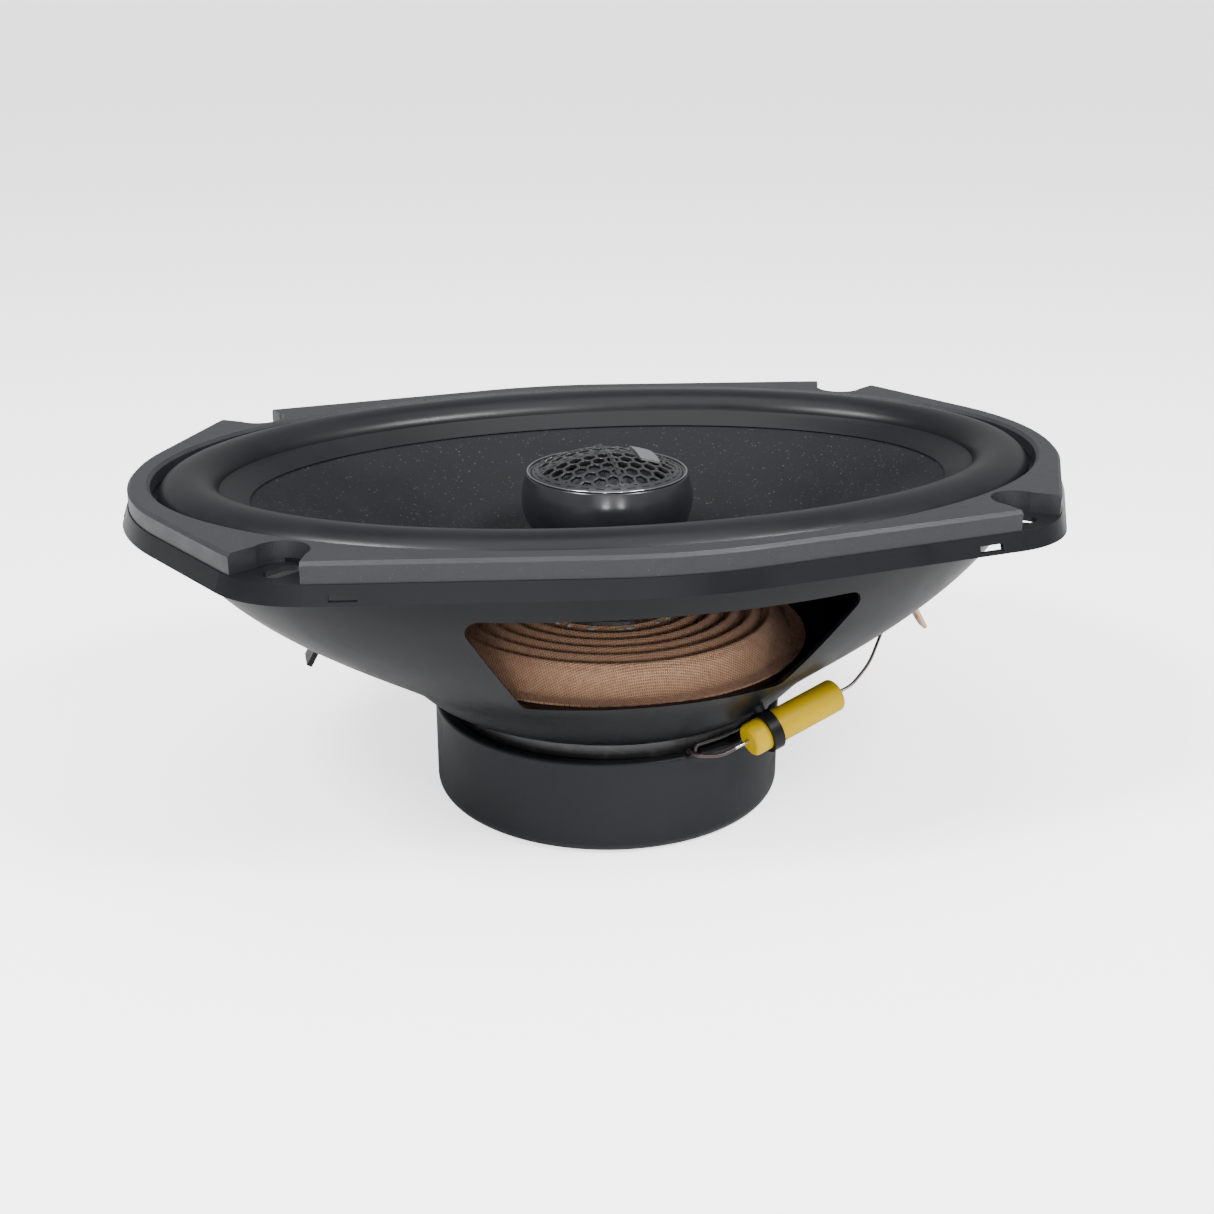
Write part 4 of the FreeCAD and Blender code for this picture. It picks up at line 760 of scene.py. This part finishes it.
    def glue_drops(self) -> None:
        """Small dried drops of glue round the coil, where the cloth's collar meets it."""
        chance = random.Random(self.drop_seed)
        bm = bmesh.new()
        level = self.ledge_z + self.cloth + self.spider_rise + 0.35
        for i in range(self.drops):
            at = 2 * math.pi * (i + chance.uniform(-0.35, 0.35)) / self.drops
            long, tall = chance.uniform(0.5, 1.5), chance.uniform(0.35, 0.75)
            place = Matrix.Rotation(at, 4, "Z") @ Matrix.Translation((self.coil_radius + 1.15, 0, level))
            place = place @ Matrix.Diagonal((0.7, long, tall, 1))
            bmesh.ops.create_icosphere(bm, subdivisions=2, radius=1.0, matrix=place)
        thing = finished(bm, "collar_glue", CLEAR_GLUE, 60.0)
        stand_for(thing, "cone_assembly", "cone_pulp")

    def spider(self) -> None:
        """Cupped, corrugated cloth, woven flat and pressed."""
        flat = self.ledge_z + self.cloth
        crest = flat + self.spider_rise
        inner = self.coil_radius + self.gap + 0.35
        steps = 12
        knee, top = self.spider_knee, self.spider_wall_top
        line: List[Tuple[float, float]] = [(self.spider_outer, flat), (knee + 1.4, flat)]
        line += [(knee + 0.7, flat + 0.15), (knee + 0.1, flat + 0.9)]
        line += [(top + 0.35, crest - 0.9), (top - 0.1, crest - 0.2)]
        start = top - 0.4
        collar = inner + 1.5
        for i in range(self.spider_rolls * steps + 1):
            part = i / steps
            fade = min(1.0, 1.5 - abs(part / self.spider_rolls - 0.5) * 1.6)
            radius = start + (collar - start) * part / self.spider_rolls
            line.append((radius, crest + self.spider_roll * fade * math.sin(2 * math.pi * part)))
        line += [(inner + 0.5, crest + 0.15), (inner, crest + 0.9)]
        over = [hoop(r, z, min(1.0, max(0.0, (top - r) / (top - collar)))) for r, z in line]
        under = [s._replace(z=s.z - self.cloth) for s in reversed(over)]
        bm = sweep(over + under + [over[0]], 192)
        self.lay_cloth(bm, line)
        thing = finished(bm, "spider_cloth", SPIDER_CLOTH, 60.0)
        flex(thing, "spider_cloth", "cone_assembly", "spider")

    @staticmethod
    def lay_cloth(bm: Mesh, line: Sequence[Tuple[float, float]]) -> None:
        """Give the spider UVs as if it were pressed from a flat round of cloth.

        Args:
            bm: the spider's mesh.
            line: its section, from the outer edge inwards.
        """
        runs = [line[-1][0]]
        for (r0, z0), (r1, z1) in zip(line[::-1], line[-2::-1]):
            runs.append(runs[-1] + math.hypot(r1 - r0, z1 - z0))
        radii = [r for r, _ in line[::-1]]
        layer = bm.loops.layers.uv.new("flat cloth")
        for face in bm.faces:
            for loop in face.loops:
                x, y, _ = loop.vert.co
                radius = max(math.hypot(x, y), 1e-6)
                k = min(range(len(radii)), key=lambda n: abs(radii[n] - radius))
                reach = (runs[k] + radius - radii[k]) / radius * MM
                loop[layer].uv = (x * reach, y * reach)

    def winding(self) -> None:
        """Turns of enamelled wire round the former."""
        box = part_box("voice_coil_winding")
        low, high, outer = box[0].z / MM, box[1].z / MM, box[1].x / MM
        pitch = (high - low) / self.turns
        inner = self.coil_radius + 0.02
        line = [hoop(inner, low)]
        for i in range(self.turns):
            for step in range(4):
                swell = 0.16 * math.sin(math.pi * (step + 0.5) / 4) - 0.16
                line.append(hoop(outer + swell, low + pitch * (i + (step + 0.5) / 4)))
        line += [hoop(inner, high), line[0]]
        thing = finished(sweep(line, 96), "coil_turns", COPPER, 70.0)
        stand_for(thing, "cone_assembly", "copper_winding", "voice_coil_winding")

    def tinsel(self, side: int, name: str) -> None:
        """Braided lead from a terminal rivet to the coil's neck."""
        path = smooth_path([(x, side * y, z) for x, y, z in self.tinsel_route])
        bm = tube_along(path, self.tinsel_radius, 12, 0.10)
        layer = bm.verts.layers.float.new("share")
        start, end = self.tinsel_route[0][0], self.tinsel_route[-1][0]
        for vert in bm.verts:
            vert[layer] = min(1.0, max(0.0, (start - vert.co.x) / (start - end)))
        thing = finished(bm, name + "_braid", TINSEL, 60.0)
        flex(thing, "tinsel_braid", "cone_assembly", name)

    def build(self) -> None:
        """Build and dress the whole woofer."""
        self.surround()
        self.cone()
        self.glue_fillet()
        self.glue_drops()
        self.spider()
        self.winding()
        self.tinsel(-1, "tinsel_positive")
        self.tinsel(1, "tinsel_negative")
        PAINT.dress_nodes({"voice_coil_former": FOIL, "tinsel_eyelets": SOLDER})


def smooth_path(points: Sequence[Point], order: int = 3) -> List[Vector]:
    """Points along the one smooth spline that a route's points control.

    Args:
        points: the route.
        order: the spline's order.

    Returns:
        Points close together along it, in the same unit.
    """
    curve = bpy.data.curves.new("route", "CURVE")
    curve.dimensions = "3D"
    curve.resolution_u = 14
    spline = curve.splines.new("NURBS")
    spline.points.add(len(points) - 1)
    for place, point in zip(spline.points, points):
        place.co = (*point, 1.0)
    spline.order_u = order
    spline.use_endpoint_u = True
    holder = bpy.data.objects.new("route", curve)
    bpy.context.scene.collection.objects.link(holder)
    mesh = bpy.data.meshes.new_from_object(holder)
    line = [v.co.copy() for v in mesh.vertices]
    bpy.data.objects.remove(holder)
    bpy.data.curves.remove(curve)
    bpy.data.meshes.remove(mesh)
    return line


def tube_along(path: Sequence[Vector], radius: float, segments: int, twist: float = 0.0) -> Mesh:
    """Extrude a ring along a path, with a lobed section when it is a braid.

    Args:
        path: points along the middle line.
        radius: the tube's radius.
        segments: points round the section.
        twist: depth of the braid's lobes as a share of the radius.

    Returns:
        The closed tube.
    """
    bm = bmesh.new()
    verts = bmesh.ops.create_circle(bm, cap_ends=True, segments=segments, radius=radius)["verts"]
    if twist:
        for i, vert in enumerate(verts):
            vert.co *= 1.0 - twist * (i % 2)
    heading = Vector((0, 0, 1))
    here = Vector((0, 0, 0))
    faces = bm.faces[:]
    for i, point in enumerate(path):
        ahead = (path[min(i + 1, len(path) - 1)] - path[max(i - 1, 0)]).normalized()
        if i:
            made = bmesh.ops.extrude_face_region(bm, geom=faces)["geom"]
            if i > 1:
                bmesh.ops.delete(bm, geom=faces, context="FACES_ONLY")
            faces = [f for f in made if isinstance(f, bmesh.types.BMFace)]
            verts = [v for v in made if isinstance(v, bmesh.types.BMVert)]
        turned = heading.rotation_difference(ahead).to_matrix().to_4x4()
        if twist:
            turned = turned @ Matrix.Rotation(0.35, 4, heading)
        step = Matrix.Translation(point) @ turned @ Matrix.Translation(-here)
        bmesh.ops.transform(bm, matrix=step, verts=verts)
        heading, here = ahead, point
    return bm


# ------------------------------------------------------------------ tweeter
@dataclass
class Tweeter:
    """Pod, grille, dome, rim ring and plain badge. Sizes in millimetres."""

    rim_z: float = 4.6
    rim_radius: float = 20.4
    pocket: float = 19.25
    cavity: float = 17.5
    cavity_floor: float = -10.5
    bore: float = 2.3
    belly_radius: float = 22.2
    belly_z: float = -1.5
    base_z: float = -13.0
    post_radius: float = 11.0
    grille_outer: float = 19.2
    grille_rise: float = 5.2
    wall: float = 0.8
    pitch: float = 3.5
    web: float = 0.75
    band: float = 1.9
    tuck: float = 0.7
    trims: int = 72
    rib: float = 1.3
    rib_rise: float = 0.12
    ring_height: float = 0.5
    ring_width: float = 0.55
    pin_count: int = 13
    pin: Point = (1.3, 0.45, 0.35)
    dash_count: int = 30
    dash: Point = (2.1, 0.5, 0.35)
    badge_x: float = 9.8
    badge_width: float = 5.2
    badge_length: float = 12.0
    badge_thickness: float = 0.7
    coil_radius: float = 10.75
    dome_rise: float = 4.2
    dome_skin: float = 0.3
    edge_roll: float = 13.2
    edge_outer: float = 15.0
    edge_skin: float = 0.25
    face: float = field(default_factory=lambda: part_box("tweeter_face_ring")[1].z / MM)

    @property
    def ball(self) -> float:
        """Radius of the sphere that the grille's dome is part of."""
        return (self.grille_outer ** 2 + self.grille_rise ** 2) / (2 * self.grille_rise)

    def on_dome(self, radius: float, lift: float = 0.0) -> float:
        """Height of the grille's outer face at a radius."""
        ball = self.ball + lift
        return self.rim_z + self.grille_rise - self.ball + math.sqrt(ball ** 2 - radius ** 2)

    def drape(self, bm: Mesh, lift: float = 0.0, above: float = 0.0) -> None:
        """Lay a flat mesh over the grille's dome."""
        for vert in bm.verts:
            vert.co.z = self.on_dome(math.hypot(vert.co.x, vert.co.y), lift) + above

    def pod(self) -> None:
        """Turned housing with a round belly on a post."""
        foot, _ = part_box("tweeter_pod")
        low = foot.z / MM
        outer = [Corner(self.post_radius, low, 0.3), Corner(self.post_radius, self.base_z - 4.5, 2.0)]
        outer.append(Corner(self.post_radius + 1.2, self.base_z - 0.6, 1.5))
        outer.append(Corner(self.post_radius + 5.0, self.base_z + 1.3, 1.5))
        outer.append(Corner(self.belly_radius - 1.7, self.base_z + 4.6, 2.6))
        outer.append(Corner(self.belly_radius, self.belly_z, 3.2))
        outer.append(Corner(self.rim_radius, self.rim_z, 0.35))
        ledge = self.face - 1.2
        inner = [Corner(self.pocket, self.rim_z, 0.25), Corner(self.pocket, ledge),
                 Corner(self.cavity, ledge), Corner(self.cavity, self.cavity_floor),
                 Corner(self.bore, self.cavity_floor), Corner(self.bore, low)]
        thing = finished(turn(outer + inner, 144, 6), "pod_shell", POD_PLASTIC, 32.0)
        stand_for(thing, "chassis", "pod_plastic", "tweeter_pod")

    def honeycomb(self) -> None:
        """Domed honeycomb with a cross of ribs and a plain band at its edge."""
        bm = bmesh.new()
        edge = self.grille_outer - self.band
        step = self.pitch * math.sqrt(3) / 2
        rows = int(self.grille_outer / step) + 2
        for row in range(-rows, rows + 1):
            for column in range(-rows, rows + 1):
                x = self.pitch * (column + 0.5 * (row % 2))
                y = step * row
                if math.hypot(x, y) > edge + self.pitch:
                    continue
                bmesh.ops.create_circle(bm, cap_ends=True, segments=6, radius=self.pitch / math.sqrt(3),
                                        matrix=Matrix.Translation((x, y, 0)))
        bmesh.ops.remove_doubles(bm, verts=bm.verts, dist=0.02)
        cells = bm.faces[:]
        bmesh.ops.inset_individual(bm, faces=cells, thickness=self.web / 2, use_even_offset=True)
        bmesh.ops.delete(bm, geom=cells, context="FACES")
        for i in range(self.trims):
            out = Vector((1, 0, 0)) @ Matrix.Rotation(2 * math.pi * i / self.trims, 3, "Z")
            bmesh.ops.bisect_plane(bm, geom=bm.verts[:] + bm.edges[:] + bm.faces[:], dist=0.001,
                                   plane_co=out * (edge + self.tuck), plane_no=out, clear_outer=True)
        bmesh.ops.subdivide_edges(bm, edges=[e for e in bm.edges if e.calc_length() > self.web], cuts=1)
        bmesh.ops.dissolve_degenerate(bm, dist=0.02, edges=bm.edges[:])
        self.drape(bm)
        bmesh.ops.recalc_face_normals(bm, faces=bm.faces)
        comb = finished(bm, "grille_comb", GRILLE_PLASTIC, 35.0)
        wall = comb.modifiers.new("wall", "SOLIDIFY")
        wall.thickness = self.wall * MM
        wall.offset = -1.0
        soft = comb.modifiers.new("soft edges", "BEVEL")
        soft.width = 0.00012
        soft.segments = 2
        soft.limit_method = "ANGLE"
        stand_for(comb, "chassis", "grille_plastic", "tweeter_grille")

    def grille_frame(self) -> None:
        """Plain band, inner wall and foot of the grille."""
        low = self.face + 0.5
        out = self.grille_outer
        inn = out - self.band
        corners = [Corner(out, self.rim_z - 0.2, 0.2), Corner(out - 0.15, self.on_dome(out - 0.25), 0.15),
                   Corner(inn, self.on_dome(inn) + 0.05, 0.15),
                   Corner(inn, self.on_dome(inn) - self.wall, 0.1),
                   Corner(out - self.wall, self.rim_z - 0.6, 0.3), Corner(out - self.wall, low + self.wall),
                   Corner(out - 2.4, low + self.wall), Corner(out - 2.4, low), Corner(out, low)]
        thing = finished(turn(corners, 144), "grille_band", GRILLE_PLASTIC, 35.0)
        stand_for(thing, "chassis", "grille_plastic")

    def grille_ribs(self) -> None:
        """Cross of two ribs over the comb, each with a row of small studs."""
        for name, turn_by in (("grille_rib_long", 0.0), ("grille_rib_cross", math.pi / 2)):
            bm = bmesh.new()
            half = self.grille_outer - self.band
            bmesh.ops.create_grid(bm, x_segments=36, y_segments=2, size=1.0)
            bmesh.ops.scale(bm, vec=(half, self.rib / 2, 1.0), verts=bm.verts)
            self.drape(bm, above=self.rib_rise)
            bmesh.ops.solidify(bm, geom=bm.faces[:], thickness=self.wall + self.rib_rise)
            soften(bm, [e for e in bm.edges if e.calc_face_angle(0.0) > 0.7], 0.12)
            for i in range(self.pin_count):
                x = half * (2 * i / (self.pin_count - 1) - 1) * 0.93
                if abs(x) < 1.2:
                    continue
                lift = self.on_dome(abs(x)) + 0.22
                add_stud(bm, Matrix.Translation((x, 0, lift)) @ Matrix.Diagonal((*self.pin, 1)), 0.1)
            thing = finished(bm, name, GRILLE_PLASTIC, 40.0, Matrix.Rotation(turn_by, 4, "Z"))
            stand_for(thing, "chassis", "grille_plastic")

    def rim_dashes(self) -> None:
        """Ring of short raised dashes on the grille's band."""
        bm = bmesh.new()
        radius = self.grille_outer - self.band * 0.55
        for i in range(self.dash_count):
            turned = Matrix.Rotation(2 * math.pi * (i + 0.5) / self.dash_count, 4, "Z")
            place = Matrix.Translation((0, radius, self.on_dome(radius) + 0.05))
            add_stud(bm, turned @ place @ Matrix.Diagonal((*self.dash, 1)), 0.12)
        thing = finished(bm, "grille_dashes", GRILLE_PLASTIC, 40.0)
        stand_for(thing, "chassis", "grille_plastic")

    def rim_ring(self) -> None:
        """Thin bright ring round the grille."""
        out = self.rim_radius - 0.05
        inn = out - self.ring_width
        low, high = self.rim_z, self.rim_z + self.ring_height
        corners = [Corner(out, low, 0.1), Corner(out, high, 0.22),
                   Corner(inn, high, 0.22), Corner(inn, low, 0.1)]
        thing = finished(turn(corners, 160), "rim_bright", BRIGHT, 50.0)
        stand_for(thing, "chassis", "rim_bright", "tweeter_rim_ring")

    def badge(self) -> None:
        """Plain silver plate with a raised edge, curved to the grille."""
        bm = bmesh.new()
        bmesh.ops.create_grid(bm, x_segments=10, y_segments=20, size=1.0)
        bmesh.ops.scale(bm, vec=(self.badge_width / 2, self.badge_length / 2, 1.0), verts=bm.verts)
        corners = [v for v in bm.verts if len(v.link_faces) == 1]
        soften(bm, corners, 0.7, "VERTICES", 4)
        frame_faces = bm.faces[:]
        bmesh.ops.inset_region(bm, faces=frame_faces, thickness=0.45, depth=0.0)
        bmesh.ops.translate(bm, vec=(self.badge_x, 0, 0), verts=bm.verts)
        plate = [f for f in frame_faces if f.is_valid]
        self.drape(bm, self.badge_thickness)
        bmesh.ops.solidify(bm, geom=bm.faces[:], thickness=self.badge_thickness)
        sunk = {v for f in plate if f.is_valid for v in f.verts if all(e.is_manifold for e in v.link_edges)}
        bmesh.ops.translate(bm, vec=(0, 0, -0.14), verts=list(sunk))
        thing = finished(bm, "plain_badge", SILVER, 30.0)
        stand_for(thing, "chassis", "badge_silver", "tweeter_badge")

    def dome(self) -> None:
        """Thin dome with its skirt, and its soft edge."""
        rise = self.dome_rise
        radius = self.coil_radius
        ball = (radius ** 2 + rise ** 2) / (2 * rise)
        base = self.face + 0.4
        inside = ball - self.dome_skin
        centre = base + rise - ball
        steps = 18
        low_turn = math.asin(radius / ball)
        over = []
        under = []
        for i in range(steps + 1):
            lean = low_turn * (1 - i / steps)
            over.append(hoop(ball * math.sin(lean), centre + ball * math.cos(lean), 1.0))
            under.append(hoop(inside * math.sin(lean), centre + inside * math.cos(lean), 1.0))
        skirt = [hoop(radius, self.face, 1.0)]
        inner_skirt = [hoop(radius - 0.35, base, 1.0), hoop(radius - 0.35, self.face, 1.0)]
        bm = sweep(skirt + over, 96)
        thing_under = sweep(inner_skirt[::-1] + under, 96)
        scratch = bpy.data.meshes.new("dome scratch")
        thing_under.to_mesh(scratch)
        thing_under.free()
        bm.from_mesh(scratch)
        bpy.data.meshes.remove(scratch)
        loose = [e for e in bm.edges if e.is_boundary]
        foot = [e for e in loose if all(abs(v.co.z - self.face) < 1e-3 for v in e.verts)]
        bmesh.ops.bridge_loops(bm, edges=foot)
        thing = finished(bm, "dome_film", DOME_FILM, 40.0)
        stand_for(thing, "tweeter_diaphragm", "dome_film", "tweeter_dome")

    def soft_edge(self) -> None:
        """Small half roll between the dome and the face ring."""
        inner = self.coil_radius + 0.15
        roll, outer, skin = self.edge_roll, self.edge_outer, self.edge_skin
        over = []
        under = []
        steps = 12
        for i in range(steps + 1):
            turn_by = math.pi * i / steps
            radius = (inner + roll) / 2 - (roll - inner) / 2 * math.cos(turn_by)
            rise = 0.95 * math.sin(turn_by)
            share = 1.0 - i / steps
            over.append(hoop(radius, self.face + skin + rise, share))
            under.append(hoop(radius, self.face + 0.01 + rise * 0.97, share))
        over.append(hoop(outer, self.face + skin))
        under.append(hoop(outer, self.face + 0.01))
        thing = finished(sweep(over + under[::-1] + [over[0]], 96), "tweeter_edge", SOFT_EDGE, 50.0)
        flex(thing, "dome_edge", "tweeter_diaphragm", "tweeter_surround")

    def build(self) -> None:
        """Build and dress the whole tweeter."""
        self.pod()
        self.honeycomb()
        self.grille_frame()
        self.grille_ribs()
        self.rim_dashes()
        self.rim_ring()
        self.badge()
        self.dome()
        self.soft_edge()
        PAINT.dress_nodes({"tweeter_face_ring": POD_PLASTIC, "tweeter_yoke": ZINC, "tweeter_magnet": NICKEL,
                           "tweeter_top_plate": ZINC, "tweeter_voice_coil": COPPER, "pod_insert": BRASS,
                           "pod_stud": ZINC, "pod_washer": ZINC, "pod_nut": ZINC})


# ------------------------------------------------------------------ chassis, motor, terminals
class Chassis:
    """Basket, trim and motor: CAD shapes in their real finishes."""

    @staticmethod
    def build() -> None:
        """Dress the basket, trim, plates, magnet and boot."""
        PAINT.dress_nodes({
            "basket": BLACK_PAINT, "trim_gasket": TRIM, "top_plate": MOTOR_STEEL, "plate_rivets": ZINC,
            "ferrite_magnet": FERRITE, "yoke": MOTOR_STEEL, "magnet_boot": BOOT_RUBBER})


class Crossover:
    """Terminals, capacitor, wires and clips."""

    @staticmethod
    def build() -> None:
        """Dress the electrical pieces."""
        PAINT.dress_nodes({
            "terminal_strip": BOARD, "terminal_positive": BRASS, "terminal_negative": BRASS,
            "terminal_rivets": BRASS, "lead_clip": CLIP_PLASTIC, "lead_clip_rivet": ZINC,
            "capacitor": CAP_YELLOW, "capacitor_strap": CLIP_PLASTIC, "capacitor_leads": TINNED,
            "tweeter_wire_positive": DARK_WIRE, "tweeter_wire_negative": BLACK_WIRE})


# ------------------------------------------------------------------ studio
@dataclass
class Studio:
    """Floor, light and camera. Metres and degrees."""

    azimuth: float = -13.0
    elevation: float = 20.4
    distance: float = 0.43
    aim: Point = (0.0, 0.0, -0.032)
    lens: float = 49.0
    floor_size: float = 60.0
    sky: float = 0.58
    backdrop: float = 1.8

    def place(self, azimuth: float, elevation: float, distance: float) -> Vector:
        """A point round the object, seen from its middle."""
        a, e = math.radians(azimuth), math.radians(elevation)
        way = Vector((math.sin(a) * math.cos(e), -math.cos(a) * math.cos(e), math.sin(e)))
        return Vector(self.aim) + distance * way

    def aim_at_middle(self, thing: Thing, azimuth: float, elevation: float, distance: float) -> None:
        """Put a camera or a lamp in its place and turn it to the object's middle."""
        thing.location = self.place(azimuth, elevation, distance)
        thing.rotation_euler = (Vector(self.aim) - thing.location).to_track_quat("-Z", "Y").to_euler()
        bpy.context.scene.collection.objects.link(thing)

    def camera(self) -> None:
        """Camera a little above the flange, looking at the middle of the object."""
        data = bpy.data.cameras.new("camera")
        data.lens = self.lens
        data.sensor_width = 36.0
        data.clip_start = 0.01
        thing = bpy.data.objects.new("camera", data)
        self.aim_at_middle(thing, self.azimuth, self.elevation, self.distance)
        bpy.context.scene.camera = thing

    def lamp(self, name: str, azimuth: float, elevation: float, distance: float, size: float,
             power: float) -> None:
        """A square soft light aimed at the object."""
        data = bpy.data.lights.new(name, "AREA")
        data.shape = "SQUARE"
        data.size = size
        data.energy = power
        self.aim_at_middle(bpy.data.objects.new(name, data), azimuth, elevation, distance)

    def floor(self) -> None:
        """Plain pale floor under the magnet."""
        bm = bmesh.new()
        bmesh.ops.create_grid(bm, x_segments=1, y_segments=1, size=self.floor_size / 2)
        bmesh.ops.translate(bm, vec=(0, 0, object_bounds()[0][2]), verts=bm.verts)
        mesh = bpy.data.meshes.new("floor")
        bm.to_mesh(mesh)
        bm.free()
        thing = bpy.data.objects.new("floor", mesh)
        bpy.context.scene.collection.objects.link(thing)
        material = bpy.data.materials.new("floor")
        material.use_nodes = True
        shader = material.node_tree.nodes["Principled BSDF"]
        shader.inputs["Base Color"].default_value = (0.86, 0.86, 0.86, 1)
        shader.inputs["Roughness"].default_value = 0.7
        shader.inputs["Emission Color"].default_value = (1, 1, 1, 1)
        strength = self.lit_for_view(material.node_tree, 0.0, self.backdrop)
        Graph(material.node_tree).feed(shader.inputs["Emission Strength"], strength)
        mesh.materials.append(material)
        thing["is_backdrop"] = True

    @staticmethod
    def lit_for_view(tree: Tree, plain: float, extra: float) -> Socket:
        """A strength that is raised where the backdrop is seen, not where it lights or is mirrored.

        Args:
            tree: the node tree to build in.
            plain: strength of the light it gives.
            extra: what is added for the view.

        Returns:
            The strength's socket.
        """
        g = Graph(tree)
        return g.math("MULTIPLY_ADD", g.node("ShaderNodeLightPath").outputs["Is Camera Ray"], extra, plain)

    def build(self) -> None:
        """Set up the whole studio."""
        self.floor()
        self.camera()
        self.lamp("key", -62.0, 50.0, 1.0, 0.22, 17.0)
        self.lamp("second", 40.0, 48.0, 1.0, 0.22, 15.0)
        self.lamp("overhead", 10.0, 84.0, 1.3, 1.0, 12.0)
        self.lamp("front", -13.0, 10.0, 1.3, 0.8, 3.0)
        self.lamp("left spot", -14.0, 13.0, 1.3, 0.12, 2.4)
        self.lamp("right spot", 6.0, 13.0, 1.3, 0.12, 2.4)
        world = bpy.data.worlds.new("studio")
        world.use_nodes = True
        world.node_tree.nodes["Background"].inputs["Color"].default_value = (1, 1, 1, 1)
        strength = world.node_tree.nodes["Background"].inputs["Strength"]
        Graph(world.node_tree).feed(strength, self.lit_for_view(world.node_tree, self.sky, self.backdrop))
        bpy.context.scene.world = world


def main() -> None:
    """Build the speaker round its frame, piece by piece."""
    logging.basicConfig(level=logging.INFO, format="%(message)s")
    Studio().build()
    Chassis().build()
    Woofer().build()
    Tweeter().build()
    Crossover().build()
    keep_box()


if __name__ == "__main__":
    main()
